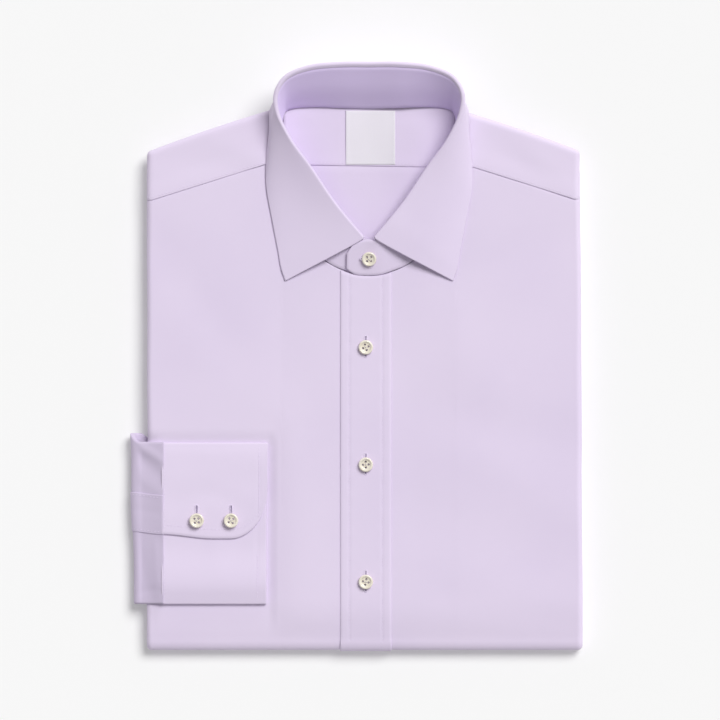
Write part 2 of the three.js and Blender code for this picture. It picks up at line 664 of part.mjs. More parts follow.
// Hidden layers: a filler inside the upper layers, a core, and the layers of the lower stack
function foldedLayers() {
  const skinDepth = CLOTH + GAP;
  const upper = { bottom: 10.1, top: STACK - skinDepth, inset: skinDepth, lowY: FOLD_Y, shoulderInset: 2.5 };
  const core = { bottom: 5.5, top: 11, inset: EDGE_RADIUS + 1, lowY: FOLD_Y - 2, shoulderInset: 12 };
  const lowY = FOLD_Y + UNDER_RUN + GAP;
  const turned = { bottom: 3.7, top: 6, inset: 2 * skinDepth, lowY: FOLD_Y, shoulderInset: 30 };
  let solid = roundedSlab(upper).add(roundedSlab(core)).add(roundedSlab(turned));
  LOWER_LAYERS.forEach((layer) => {
    solid = solid.add(roundedSlab({ ...layer, lowY }));
  });
  const pitFloor = INSIDE_Z - CLOTH - GAP;
  const pitHalf = INSIDE_HALF_WIDTH + GAP;
  const beyond = NECK_TOP_Y + STACK;
  const pit = block([COLLAR_X - pitHalf, BACK_LOW_Y - GAP, pitFloor], [COLLAR_X + pitHalf, beyond, STACK]);
  const neckHalf = NECK_TOP_HALF_WIDTH - GAP;
  const bandLow = [COLLAR_X - neckHalf, BAND_DIP_Y, INSIDE_Z - GAP];
  const bandRoom = block(bandLow, [COLLAR_X + neckHalf, beyond, STACK]);
  solid = solid.subtract(pit).subtract(bandRoom);
  const slotHalf = SLEEVE_HALF_THICK + GAP;
  const slotLow = [SLEEVE_LEFT_X, SLEEVE_BOTTOM_Y - SLOT_ROOM, SLEEVE_LOWER_Z - slotHalf];
  const slotTopY = SLEEVE_TOP_Y + SLEEVE_FLARE + SLOT_ROOM;
  const slotHigh = [SLEEVE_HIDDEN_X + 1, slotTopY, SLEEVE_LOWER_Z + slotHalf];
  return geometryOf(solid.subtract(block(slotLow, slotHigh)));
}

const group = new THREE.Group();

const LILAC = "#e2d4eb";
const SHADE = "#c8b6d8";
const WHITE = "#e8e6ec";
const IVORY = "#ebe4d2";

function add(name, geometry, color, roughness = 0.85) {
  const material = new THREE.MeshStandardMaterial({ color, roughness, metalness: 0 });
  const mesh = new THREE.Mesh(geometry, material);
  mesh.name = name;
  group.add(mesh);
  return mesh;
}

add("front_right", frontPanel(-1), LILAC);
add("front_left", frontPanel(1), LILAC);
add("placket", placket(), LILAC);
add("yoke_right", yokeHalf(-1), LILAC);
add("yoke_left", yokeHalf(1), LILAC);
add("yoke_lining", insidePanel(BACK_YOKE_SEAM_Y + GAP / 2, NECK_TOP_Y), LILAC);
add("back", insidePanel(BACK_LOW_Y, BACK_YOKE_SEAM_Y - GAP / 2), LILAC);
add("collar_stand", collarStand(), SHADE);
add("collar_leaf", collarLeaf(), LILAC);
add("sleeve_right", sleeveEnd(), SHADE);
add("sleeve_placket", sleevePlacket(), LILAC);
add("cuff_right", cuff(), LILAC);
add("neck_label", label(), WHITE);
add("folded_layers", foldedLayers(), LILAC);

CUFF_BUTTON_XS.forEach((x, i) => {
  const z = frontHeight(x, CUFF_BUTTON_Y) + CUFF_LEVELS[2] + CUFF_CLOTH / 2 + GAP;
  add("cuff_button_" + (i + 1), button(), IVORY, 0.3).position.set(x, CUFF_BUTTON_Y, z);
});

for (let i = 0; i < FRONT_BUTTONS; i++) {
  const y = FIRST_BUTTON_Y - i * BUTTON_SPACING;
  const z = frontHeight(PLACKET_X, y) + PLACKET_RISE + GAP;
  add("front_button_" + (i + 1), button(), IVORY, 0.3).position.set(PLACKET_X, y, z);
}

// The collar button lies on the band's upper end, tilted with it
const bandTilt = Math.atan(BAND_FRONT_SLOPE);
const bandZ = bandFrontZ(COLLAR_BUTTON_Y) + BAND_LIFT;
const collarButton = add("collar_button", button(), IVORY, 0.3);
collarButton.position.set(COLLAR_X, COLLAR_BUTTON_Y, bandZ + COLLAR_CLOTH / 2 + 2 * GAP);
collarButton.rotation.set(bandTilt, 0, 0);

export default group;
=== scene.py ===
# A lilac long sleeve dress shirt, folded and lying on its back, seen from straight above.
# Shapes are worked out in millimetres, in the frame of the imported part, and made in metres.
# Left and right in the names are the wearer's, so the wearer's right lies at negative X.
import math

import bpy
import numpy as np
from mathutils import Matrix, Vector


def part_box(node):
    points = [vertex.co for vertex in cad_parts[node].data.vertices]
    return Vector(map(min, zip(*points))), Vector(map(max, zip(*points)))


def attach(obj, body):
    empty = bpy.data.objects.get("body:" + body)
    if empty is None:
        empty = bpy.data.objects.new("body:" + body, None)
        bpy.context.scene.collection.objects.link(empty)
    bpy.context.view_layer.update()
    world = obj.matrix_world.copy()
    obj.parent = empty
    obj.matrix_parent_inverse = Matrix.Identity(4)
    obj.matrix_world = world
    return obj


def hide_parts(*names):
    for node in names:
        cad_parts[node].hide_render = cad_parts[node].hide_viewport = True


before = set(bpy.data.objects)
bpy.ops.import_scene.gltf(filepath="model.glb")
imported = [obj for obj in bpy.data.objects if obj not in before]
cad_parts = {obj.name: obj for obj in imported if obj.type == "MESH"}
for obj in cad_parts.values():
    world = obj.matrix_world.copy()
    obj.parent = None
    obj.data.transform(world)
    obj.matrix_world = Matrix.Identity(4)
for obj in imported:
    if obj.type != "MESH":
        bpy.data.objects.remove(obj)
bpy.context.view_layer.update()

MM = 0.001

# Cloth: walls as they look, thinner than the solids that they stand for
BODY_PLY = 0.6
COLLAR_PLY = 1.05
CUFF_PLY = 1.1
PLACKET_PLY = 0.8
SLEEVE_PLY = 0.55
LABEL_PLY = 0.45
GAP = 0.3

# Folded body
BODY_HALF_WIDTH = 158.2
LEFT_TAPER = 0.006
BODY_BOTTOM_Y = -196.8
STACK = 16.0
SWELL = 1.2
SWELL_MIDDLE_Y = -16.0
SWELL_HALF_LENGTH = 181.0
BOTTOM_DROP = 4.2  # how far the front sinks towards the bottom fold
BOTTOM_DROP_LENGTH = 32.0
EDGE_RADIUS = 3.85
UNDER_EDGE_RADIUS = 1.35  # the side fold is pressed thinner where it has turned under
BOTTOM_RADIUS = STACK / 2
FOLD_Y = BODY_BOTTOM_Y + BOTTOM_RADIUS
UNDER_RUN = 25.0
FLAT_HALF_WIDTH = BODY_HALF_WIDTH - EDGE_RADIUS
SIDE_TURN = math.pi * EDGE_RADIUS
BOTTOM_TURN = math.pi * BOTTOM_RADIUS

# Shoulders and yoke
SHOULDER_EDGE_Y = 164.8
SHOULDER_SLOPE = 0.34
SHOULDER_BOW = 1.0
SHOULDER_LENGTH = 91.0
YOKE_SEAM_EDGE_Y = 128.6
YOKE_SEAM_SLOPE = 0.315
BACK_YOKE_SEAM_Y = 154.4
SEAM_UNDER = 7.0  # cloth that runs on under the yoke's edge
SEAM_STEP = 0.55  # how far a seamed edge stands over the cloth below it

# Neck and collar
COLLAR_X = 3.0
NECK_HALF_WIDTH = 63.5
NECK_MIDDLE_Y = 150.0
NECK_FRONT_DEPTH = 75.0
NECK_TOP_HALF_WIDTH = 66.5
NECK_TOP_Y = 196.0
INSIDE_Z = 11.5
INSIDE_HALF_WIDTH = 62.0
BACK_LOW_Y = 81.0
ROLL_RADIUS = 1.0
ROLL_FLAP = 1.9
FRONT_DROOP = 0.08
BACK_DROOP = 0.55
LEAF_REST = 0.95  # of the leaf's middle over the cloth below it
BAND_OVERLAP = 16.0
BAND_SHADE_FRONT_Y = 112.0  # nearer the front than this the band has the leaf's plain tone, and further back the painted violet shade
BAND_FRONT_SLOPE = 0.2
BAND_SEAM_Y = 75.5
BAND_SEAM_Z = 16.4
BAND_LIFT = 1.8
BAND_LIFT_FULL = 18.0
BAND_LIFT_NONE = 32.0

# Placket and buttons
PLACKET_X = 0.6
PLACKET_HALF_WIDTH = 18.2
PLACKET_RISE = 1.5
PLACKET_TOP = 1.1  # its outer face over the fronts
FRONT_MEETING_X = 1.1
BUTTON_RADIUS = 5.25
BUTTON_HEIGHT = 2.2
BUTTON_HOLE_REACH = 1.45  # of a hole's centre from the middle, along x and y
BUTTON_HOLE_RADIUS = 0.8
BUTTON_SIDES = 56
COLLAR_BUTTON_Y = 87.0

# Sleeve end and cuff
SLEEVE_LEFT_X = -170.4
SLEEVE_SEAM_X = -147.4
SLEEVE_HIDDEN_X = -144.0
SLEEVE_TOP_Y = -45.5
SLEEVE_BOTTOM_Y = -163.2
SLEEVE_HALF_THICK = 1.7  # at its open top
SLEEVE_FLAT_HALF_THICK = 0.95  # where it is pressed flat
SLEEVE_UPPER_Z = 18.3
SLEEVE_LOWER_Z = 5.4
SLEEVE_FLARE = 6.2
SLEEVE_DRAW_IN = 1.9
SLEEVE_SINK = 6.4  # how far the upper ply falls from the cuff's seam to the turn
SLIT_TOP_Y = -84.3
SLIT_BOTTOM_Y = -112.4
SLIT_OUT = SLEEVE_FLAT_HALF_THICK + 0.4  # of the strip's middle from the sleeve's
CUFF_CLOTH = 1.2
CUFF_LEFT_X = SLEEVE_SEAM_X + GAP
CUFF_RIGHT_X = -70.6
CUFF_TOP_Y = -46.0
CUFF_BOTTOM_Y = -163.4
CUFF_OVERLAP_Y = -115.3
CUFF_UNDERLAP_Y = -88.0
CUFF_CORNER_WIDTH = 27.0
CUFF_CORNER_HEIGHT = 36.0
CUFF_SHORT = 1.3  # how much the cuff's two lower levels stop short of the upper one's right edge
CUFF_HOLLOW = 1.3  # how deep the cuff lies in the soft front
CUFF_ROLL = 2.5  # how full the cuff's lower end is, before it rolls under at its fold
CUFF_HOLLOW_EDGE = 8.0  # over which the hollow fades beside the cuff
SLEEVE_HOLLOW = 1.6  # further depth of the hollow towards the side fold, below the sleeve
CUFF_LEVELS = [GAP + CUFF_CLOTH / 2 + n * (CUFF_CLOTH + GAP) for n in range(3)]
CUFF_BEND = (CUFF_LEVELS[1] - CUFF_LEVELS[0]) / 2
CUFF_TOP_BEND = 0.9
CUFF_BUTTON_Y = -102.5
CUFF_BUTTON_XS = (-121.9, -97.0)

# Label
LABEL_LEFT_X = -13.8
LABEL_RIGHT_X = 21.8
LABEL_TOP_Y = 194.6
LABEL_BOTTOM_Y = 155.6
LABEL_REST = 0.62  # of its middle over the lining's

# Sewing
STITCH_LENGTH = 2.0
STITCH_PITCH = 2.7
STITCH_RADIUS = 0.2
TOPSTITCH = 6.2  # from a collar, cuff or placket edge
EDGESTITCH = 1.7  # from a seam
STITCH_SIDES = 5
BUTTONHOLE_HALF_WIDTH = 0.85
BUTTONHOLE_POINTS = 150

# The photograph's frame
FRAME_SIDE = 522.0
FRAME_X = -3.6
FRAME_Y = 13.8
LENS = 350.0
SENSOR = 36.0

# Weave
WEAVE_PITCH = 0.42  # of two threads of the shirt's cloth
SATIN_PITCH = 0.3
WAVE_SCALE = 0.314  # a wave texture's scale for one wave a metre

# Light
HORIZON = 0.62
SKY = 0.3
KEY_STRENGTH = 0.83
KEY_SPREAD = 32.0
KEY_DIRECTION = (0.38, 0.5, 0.78)
FLOOR_TONE = (0.8, 0.8, 0.8, 1)
FLOOR_GLOW = 0.15

# Sections of the collar from the centre front (first row) to the centre back (last row): its fold, the
# leaf's edge and the band's seam, as distance from the centre line, y and height. A height of None rests
# on the cloth below.
COLLAR_SECTIONS = [
    {"fold": (4.2, 103.2, 24), "edge": (60.6, 71.6, None), "seam": (8, 76.1, BAND_SEAM_Z)},
    {"fold": (14.6, 115.2, 24.6), "edge": (63.6, 80.5, None), "seam": (27, 83.2, BAND_SEAM_Z)},
    {"fold": (26.0, 129.6, 25.6), "edge": (65.8, 93, None), "seam": (43, 97.5, 16.3)},
    {"fold": (42.9, 154.6, 28), "edge": (70.3, 116.5, None), "seam": (56.2, 119.3, 16.2)},
    {"fold": (56.6, 173.4, 31.5), "edge": (74.3, 140, None), "seam": (62, 144, 16)},
    {"fold": (66.6, 194.2, 35), "edge": (74.2, 160, None), "seam": (63.2, 168, 15.5)},
    {"fold": (67.6, 207, 37), "edge": (72.3, 178, None), "seam": (63.4, 184, 14)},
    {"fold": (60.5, 218.6, 38), "edge": (70.6, 197.4, 16.6), "seam": (60.5, 194.4, 12.7)},
    {"fold": (43.9, 225.8, 38.2), "edge": (60, 202.4, 7), "seam": (46, 197.4, 12.7)},
    {"fold": (21, 228.3, 38), "edge": (32, 201.2, 3.8), "seam": (22, 197, 12.7)},
    {"fold": (0, 228.4, 38), "edge": (0, 200.4, 3.2), "seam": (0, 196.6, 12.7)},
]

# Ends of the band past the centre front: distance past it, y of the top, y of the seam
BAND_END_SECTIONS = [
    (BAND_OVERLAP, 91, 80),
    (0.65 * BAND_OVERLAP, 98, 76.3),
    (0.1 * BAND_OVERLAP, 100.8, BAND_SEAM_Y),
]

CREASE_END = 0.6  # how fast a crease fades past its ends

# A row for each crease: the two ends of its line, half width and height (a trough is negative)
FRONT_CREASES = [
    ((-146, 96), (-96, 18), 17, -0.55),
    ((-128, 40), (-62, -26), 22, 0.5),
    ((-66, -40), (-65, -172), 9, -0.5),
    ((-60, 52), (-44, -30), 16, -0.35),
    ((-52, -60), (-40, -176), 18, 0.4),
    ((-140, -176), (-76, -186), 9, -0.35),
    ((48, 60), (92, -8), 19, 0.45),
    ((66, 78), (148, 104), 15, -0.4),
    ((52, -22), (150, -44), 20, -0.6),
    ((84, -58), (150, -96), 17, 0.5),
    ((44, -96), (122, -128), 21, -0.5),
    ((60, -160), (146, -176), 12, -0.4),
    ((30, 6), (38, -110), 12, -0.3),
]

YOKE_CREASES = [
    ((-146, 160), (-92, 152), 9, -0.3),
    ((-112, 176), (-80, 160), 10, 0.35),
    ((92, 172), (126, 148), 10, -0.35),
    ((120, 164), (150, 140), 9, 0.3),
]

INSIDE_CREASES = [
    ((-50, 186), (-30, 130), 13, -0.5),
    ((-22, 150), (-8, 98), 15, 0.5),
    ((14, 148), (30, 104), 14, -0.5),
    ((36, 190), (52, 150), 12, 0.4),
]

CUFF_CREASES = [
    ((-140, -82), (-84, -76), 11, -0.55),
    ((-112, -52), (-78, -58), 8, 0.25),
    ((-136, -92), (-120, -84), 7, -0.3),
    ((-108, -84), (-92, -92), 7, -0.25),
    ((-108, -118), (-104, -158), 9, 0.3),
    ((-140, -150), (-84, -156), 9, -0.25),
]

SLEEVE_CREASES = [
    ((-168, -46), (-149, -58), 3.4, 0.9),
    ((-167, -54), (-149, -69), 5, -0.7),
    ((-166, -70), (-150, -82), 4.5, 0.45),
    ((-168, -96), (-149, -97), 2.6, -0.3),
    ((-166, -116), (-158, -150), 5, -0.45),
    ((-152, -120), (-150, -158), 3, 0.3),
    ((-168, -156), (-150, -152), 3, -0.35),
]


def mix(a, b, t):
    return a + (b - a) * t


def smooth(x, low, high):
    t = np.clip((x - low) / (high - low), 0, 1)
    return t * t * (3 - 2 * t)


def unit(vectors):
    return vectors / np.maximum(np.linalg.norm(vectors, axis=-1, keepdims=True), 1e-9)


def stack(x, y, z):
    return np.stack(np.broadcast_arrays(x, y, z), axis=-1).astype(float)


def stations(*stops):
    """Stations through pairs of (value, step up to it); the first stop gives the start alone."""
    found = [np.array([stops[0]], float)]
    for value, step in stops[1:]:
        start = found[-1][-1]
        count = max(1, round(abs(value - start) / step))
        found.append(np.linspace(start, value, count + 1)[1:])
    return np.concatenate(found)


def creases(table, points):
    """Height of the soft troughs and ridges at some points."""
    x = points[..., 0]
    y = points[..., 1]
    high = np.zeros(x.shape)
    for (ax, ay), (bx, by), wide, peak in table:
        size = math.hypot(bx - ax, by - ay)
        along = ((x - ax) * (bx - ax) + (y - ay) * (by - ay)) / size
        across = ((y - ay) * (bx - ax) - (x - ax) * (by - ay)) / size
        beyond = np.maximum(0, np.maximum(-along, along - size))
        high = high + peak * np.exp(-(across**2 + CREASE_END * beyond**2) / wide**2)
    return high


def sided(stem, side):
    return stem + ("_right" if side < 0 else "_left")


# Blender's objects

def mesh_object(name, points, faces, material, uvs=None):
    """A mesh of points in millimetres; uvs are one pair for each point, in metres."""
    mesh = bpy.data.meshes.new(name)
    mesh.from_pydata((np.asarray(points) * MM).tolist(), [], [list(map(int, f)) for f in faces])
    mesh.materials.append(material)
    if uvs is not None:
        layer = mesh.uv_layers.new(name="cut")
        loops = np.empty(len(mesh.loops), np.int64)
        mesh.loops.foreach_get("vertex_index", loops)
        layer.data.foreach_set("uv", np.asarray(uvs, np.float32)[loops].ravel())
    mesh.shade_smooth()
    mesh.validate()
    made = bpy.data.objects.new(name, mesh)
    bpy.context.scene.collection.objects.link(made)
    return made


def grid_normals(points, closed=False):
    if closed:
        along = np.roll(points, -1, axis=1) - np.roll(points, 1, axis=1)
    else:
        along = np.gradient(points, axis=1)
    return unit(np.cross(along, np.gradient(points, axis=0)))


def arc_lengths(points, axis):
    """Length along one axis of a grid of points, from its middle."""
    steps = np.linalg.norm(np.diff(points, axis=axis), axis=-1)
    run = np.concatenate([np.zeros_like(np.take(steps, [0], axis)), np.cumsum(steps, axis)], axis)
    return run - np.take(run, [run.shape[axis] // 2], axis)


def cut_uvs(points):
    """Places of a grid of points in their own flat cut, in metres."""
    return np.stack([arc_lengths(points, 1), arc_lengths(points, 0)], axis=-1) * MM


def ring_quads(ids):
    """Faces between the rows of a grid of point numbers, each row closed to a ring."""
    after = np.roll(ids, -1, axis=1)
    return np.stack([ids[:-1], after[:-1], after[1:], ids[1:]], axis=-1).reshape(-1, 4)


def capped_rings(ids):
    return ring_quads(ids).tolist() + [ids[0, ::-1].tolist(), ids[-1].tolist()]


def shell(name, points, ply, material, facing=1):
    """A closed thin wall about a grid of middle points, its free edges rounded. facing is 1 when the
    cross product of its rows and columns points out, and -1 when it points in."""
    high, wide = points.shape[:2]
    shift = grid_normals(points) * facing * ply / 2
    edge = [(0, i) for i in range(wide)] + [(j, wide - 1) for j in range(1, high)]
    edge += [(high - 1, i) for i in range(wide - 2, -1, -1)] + [(j, 0) for j in range(high - 2, 0, -1)]
    rows, columns = np.array(edge).T
    inner = points[np.clip(rows, 1, high - 2), np.clip(columns, 1, wide - 2)]
    rim = points[rows, columns] + unit(points[rows, columns] - inner) * ply / 2
    uv = cut_uvs(points)
    skins = [(points + shift).reshape(-1, 3), (points - shift).reshape(-1, 3), rim]
    uvs = [uv.reshape(-1, 2), uv.reshape(-1, 2), uv[rows, columns]]
    ids = np.arange(high * wide).reshape(high, wide)
    quads = np.stack([ids[:-1, :-1], ids[:-1, 1:], ids[1:, 1:], ids[1:, :-1]], axis=-1).reshape(-1, 4)
    ring = ids[rows, columns]
    sides = ring_quads(np.array([ring, 2 * ids.size + np.arange(len(ring)), ring + ids.size]))
    faces = np.concatenate([quads, quads[:, ::-1] + ids.size, sides[:, ::-1]])
    if facing < 0:
        faces = faces[:, ::-1]
    return mesh_object(name, np.concatenate(skins), faces, material, np.concatenate(uvs))


def tube_shell(name, points, ply, material, facing=1):
    """A thin wall about rings of middle points, closed round each ring and open at both ends."""
    shift = grid_normals(points, closed=True) * facing * ply / 2
    skins = [(points + shift).reshape(-1, 3), (points - shift).reshape(-1, 3)]
    uv = cut_uvs(points).reshape(-1, 2)
    ids = np.arange(len(uv)).reshape(points.shape[:2])
    outer = ring_quads(ids)
    first = ring_quads(np.array([ids[0], ids[0] + ids.size]))
    last = ring_quads(np.array([ids[-1], ids[-1] + ids.size]))
    faces = np.concatenate([outer, outer[:, ::-1] + ids.size, first[:, ::-1], last])
    if facing < 0:
        faces = faces[:, ::-1]
    return mesh_object(name, np.concatenate(skins), faces, material, np.concatenate([uv, uv]))


def finished(piece, *nodes, slot="shirt_cloth"):
    """The piece rides on the part and stands for its nodes; its slot is not used."""
    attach(piece, "root")
    if nodes:
        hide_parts(*nodes)
    return piece


def sheet(plain, with_pieces=(), closed=False, flat=None):
    """Measures a piece of cloth's cut along the plain grid that it was bent from; the measures are not
    kept.
    """
    grid = np.concatenate([plain, plain[:, :1]], axis=1) if closed else plain
    across = np.linalg.norm(np.diff(grid, axis=1), axis=-1).sum(axis=1).max()
    along = np.linalg.norm(np.diff(grid, axis=0), axis=-1).sum(axis=0).max()
    a = grid[1:, 1:] - grid[:-1, :-1]
    b = grid[1:, :-1] - grid[:-1, 1:]
    area = np.linalg.norm(np.cross(a, b), axis=-1).sum() / 2
    width, length = flat or (across, along)
    area = min(float(area), width * length)


# Materials

def srgb(red, green, blue):
    def linear(c):
        c /= 255
        return c / 12.92 if c <= 0.04045 else ((c + 0.055) / 1.055) ** 2.4

    return (linear(red), linear(green), linear(blue), 1)


def set_inputs(node, values):
    for name, value in values.items():
        node.inputs[name].default_value = value


def add_node(material, kind, values=None):
    made = material.node_tree.nodes.new(kind)
    set_inputs(made, values or {})
    return made


def new_material(name, color, roughness, values=None):
    material = bpy.data.materials.new(name)
    material.use_nodes = True
    shader = material.node_tree.nodes["Principled BSDF"]
    set_inputs(shader, {"Base Color": color, "Roughness": roughness})
    set_inputs(shader, values or {})
    return material, shader


def add_bump(material, shader, relief, strength, depth):
    bump = add_node(material, "ShaderNodeBump", {"Strength": strength, "Distance": depth * MM})
    material.node_tree.links.new(relief, bump.inputs["Height"])
    material.node_tree.links.new(bump.outputs["Normal"], shader.inputs["Normal"])


def add_math(material, operation, a, b):
    made = add_node(material, "ShaderNodeMath")
    made.operation = operation
    for socket, value in zip(made.inputs, (a, b)):
        if isinstance(value, float):
            socket.default_value = value
        else:
            material.node_tree.links.new(value, socket)
    return made


def cloth_material(name, light, dark, pitch=WEAVE_PITCH, sheen=0.25, bump=0.35):
    """A fine plain weave in the cut's own coordinates, with a little cloudiness in its tone."""
    shine = {"Sheen Weight": sheen, "Sheen Roughness": 0.45, "Specular IOR Level": 0.25}
    material, shader = new_material(name, light, 0.82, shine)
    link = material.node_tree.links.new
    coords = add_node(material, "ShaderNodeTexCoord")
    cloud = add_node(material, "ShaderNodeTexNoise", {"Scale": 9.0, "Detail": 4.0})
    link(coords.outputs["Object"], cloud.inputs["Vector"])
    fade = {"From Min": 0.35, "From Max": 0.75, "To Max": 0.5}
    amount = add_node(material, "ShaderNodeMapRange", fade)
    link(cloud.outputs["Fac"], amount.inputs["Value"])
    waves = []
    for direction in ("X", "Y"):
        wave = add_node(material, "ShaderNodeTexWave", {"Scale": WAVE_SCALE / (pitch * MM)})
        set_inputs(wave, {"Distortion": 0.6, "Detail": 1.0, "Detail Scale": 0.3})
        wave.bands_direction = direction
        link(coords.outputs["UV"], wave.inputs["Vector"])
        waves.append(wave.outputs["Fac"])
    weave = add_math(material, "MULTIPLY", *waves)
    shade = add_math(material, "MULTIPLY_ADD", weave.outputs[0], -0.3)
    link(amount.outputs["Result"], shade.inputs[2])
    limit = add_node(material, "ShaderNodeClamp")
    link(shade.outputs[0], limit.inputs["Value"])
    tone = add_node(material, "ShaderNodeMix")
    tone.data_type = "RGBA"
    set_inputs(tone, {6: light, 7: dark})
    link(limit.outputs["Result"], tone.inputs[0])
    link(tone.outputs[2], shader.inputs["Base Color"])
    add_bump(material, shader, weave.outputs[0], bump, 0.12)
    return material


def button_material():
    """Ivory shell, with a cloudy pearl tone under a clear gloss."""
    gloss = {"Coat Weight": 0.5, "Coat Roughness": 0.12}
    material, shader = new_material("ivory button", srgb(240, 234, 214), 0.28, gloss)
    link = material.node_tree.links.new
    coords = add_node(material, "ShaderNodeTexCoord")
    pearl = add_node(material, "ShaderNodeTexNoise", {"Scale": 120.0, "Detail": 3.0, "Distortion": 1.2})
    link(coords.outputs["Object"], pearl.inputs["Vector"])
    tone = add_node(material, "ShaderNodeValToRGB")
    stops = ((0.35, srgb(232, 223, 204)), (0.68, srgb(244, 239, 227)))
    for element, (place, color) in zip(tone.color_ramp.elements, stops):
        element.position = place
        element.color = color
    link(pearl.outputs["Fac"], tone.inputs["Fac"])
    link(tone.outputs["Color"], shader.inputs["Base Color"])
    return material


def thread_material(name, color):
    material, shader = new_material(name, color, 0.55, {"Sheen Weight": 0.4})
    coords = add_node(material, "ShaderNodeTexCoord")
    twist = add_node(material, "ShaderNodeTexWave", {"Scale": 1800.0})
    twist.bands_direction = "DIAGONAL"
    material.node_tree.links.new(coords.outputs["Object"], twist.inputs["Vector"])
    add_bump(material, shader, twist.outputs["Fac"], 0.3, 0.05)
    return material


LILAC = srgb(228, 215, 238)
LILAC_DEEP = srgb(216, 202, 230)
# The band's two tones are the cloth made more violet: painted violet shade for the back of the band
# inside the neck.
BAND_SHADE_LILAC = srgb(230, 213, 250)
BAND_SHADE_DEEP = srgb(212, 193, 240)
# The sleeve's two tones are the cloth darkened: painted shade for the sleeve end as it slopes round the
# left edge.
SLEEVE_SHADE_LILAC = srgb(213, 200, 225)
SLEEVE_SHADE_DEEP = srgb(199, 186, 214)
SATIN = srgb(236, 232, 239)
SATIN_DEEP = srgb(224, 220, 229)
SHIRT = cloth_material("lilac broadcloth", LILAC, LILAC_DEEP)
COLLAR = cloth_material("lilac broadcloth, fused", LILAC, LILAC_DEEP, bump=0.25)
# The band's material: the cloth with painted violet shade.
SHADED_BAND_CLOTH = cloth_material("lilac broadcloth, band, painted violet shade", BAND_SHADE_LILAC, BAND_SHADE_DEEP, bump=0.25)
# The sleeve's material: the cloth darkened with painted shade.
SHADED_SLEEVE_CLOTH = cloth_material("lilac broadcloth, painted shade", SLEEVE_SHADE_LILAC, SLEEVE_SHADE_DEEP)
LABEL = cloth_material("label satin", SATIN, SATIN_DEEP, pitch=SATIN_PITCH, sheen=0.1, bump=0.3)
BUTTON = button_material()
THREAD = thread_material("lilac thread", srgb(229, 217, 240))
BUTTON_THREAD = thread_material("button thread", srgb(226, 219, 222))
LABEL_THREAD = thread_material("label thread", srgb(240, 239, 243))
# A flat dark quad in each buttonhole slit: painted shade.
SLIT_SHADE, _ = new_material("painted shade in a buttonhole slit", srgb(120, 104, 142), 0.95)


# The folded body

def body_half_width(side, y):
    return np.where(side < 0, BODY_HALF_WIDTH, BODY_HALF_WIDTH - LEFT_TAPER * (y - BODY_BOTTOM_Y))


def cuff_hollow(x, y):
    """Depth of the soft hollow that the cuff and the sleeve end lie in."""
    beside = 1 - smooth(x, CUFF_RIGHT_X + 0.5, CUFF_RIGHT_X + CUFF_HOLLOW_EDGE)
    above = 1 - smooth(y, CUFF_TOP_Y, CUFF_TOP_Y + CUFF_HOLLOW_EDGE)
    below = smooth(y, FOLD_Y, CUFF_BOTTOM_Y - 3)
    side = SLEEVE_HOLLOW * smooth(-x, -CUFF_LEFT_X, BODY_HALF_WIDTH)
    return (CUFF_HOLLOW + side) * beside * above * below


def plain_height(x, y):
    across = np.maximum(0, 1 - (x / BODY_HALF_WIDTH) ** 2)
    along = np.maximum(0, 1 - ((y - SWELL_MIDDLE_Y) / SWELL_HALF_LENGTH) ** 2)
    drop = BOTTOM_DROP * smooth(-y, -FOLD_Y - BOTTOM_DROP_LENGTH, -FOLD_Y + 10) ** 1.5
    return STACK + SWELL * across * along - drop


def front_height(x, y):
    return plain_height(x, y) - cuff_hollow(x, y)


def shoulder_y(x):
    inward = BODY_HALF_WIDTH - np.abs(x)
    bow = SHOULDER_BOW * np.sin(math.pi * np.minimum(inward, SHOULDER_LENGTH) / SHOULDER_LENGTH)
    return SHOULDER_EDGE_Y + SHOULDER_SLOPE * inward + bow


def yoke_seam_y(x):
    return YOKE_SEAM_EDGE_Y + YOKE_SEAM_SLOPE * (BODY_HALF_WIDTH - np.abs(x))


def neck_front_y(w):
    share = np.minimum(1, np.abs(w) / NECK_HALF_WIDTH)
    return NECK_MIDDLE_Y - NECK_FRONT_DEPTH * np.sqrt(1 - share * share)


def side_drift(side, s):
    """Small unevenness of a side fold along its length."""
    wave = 0.3 * np.sin(s / 41 + 1.1 * side) + 0.22 * np.sin(s / 17.5 + 2.4 + side)
    return np.minimum(wave, 0.15)


def placket_recess(x, bend):
    zone = 1 - smooth(np.abs(x - PLACKET_X), PLACKET_HALF_WIDTH + 0.4, PLACKET_HALF_WIDTH + 6)
    return PLACKET_RISE * zone * smooth(bend, 0.25 * math.pi, 0.95 * math.pi)


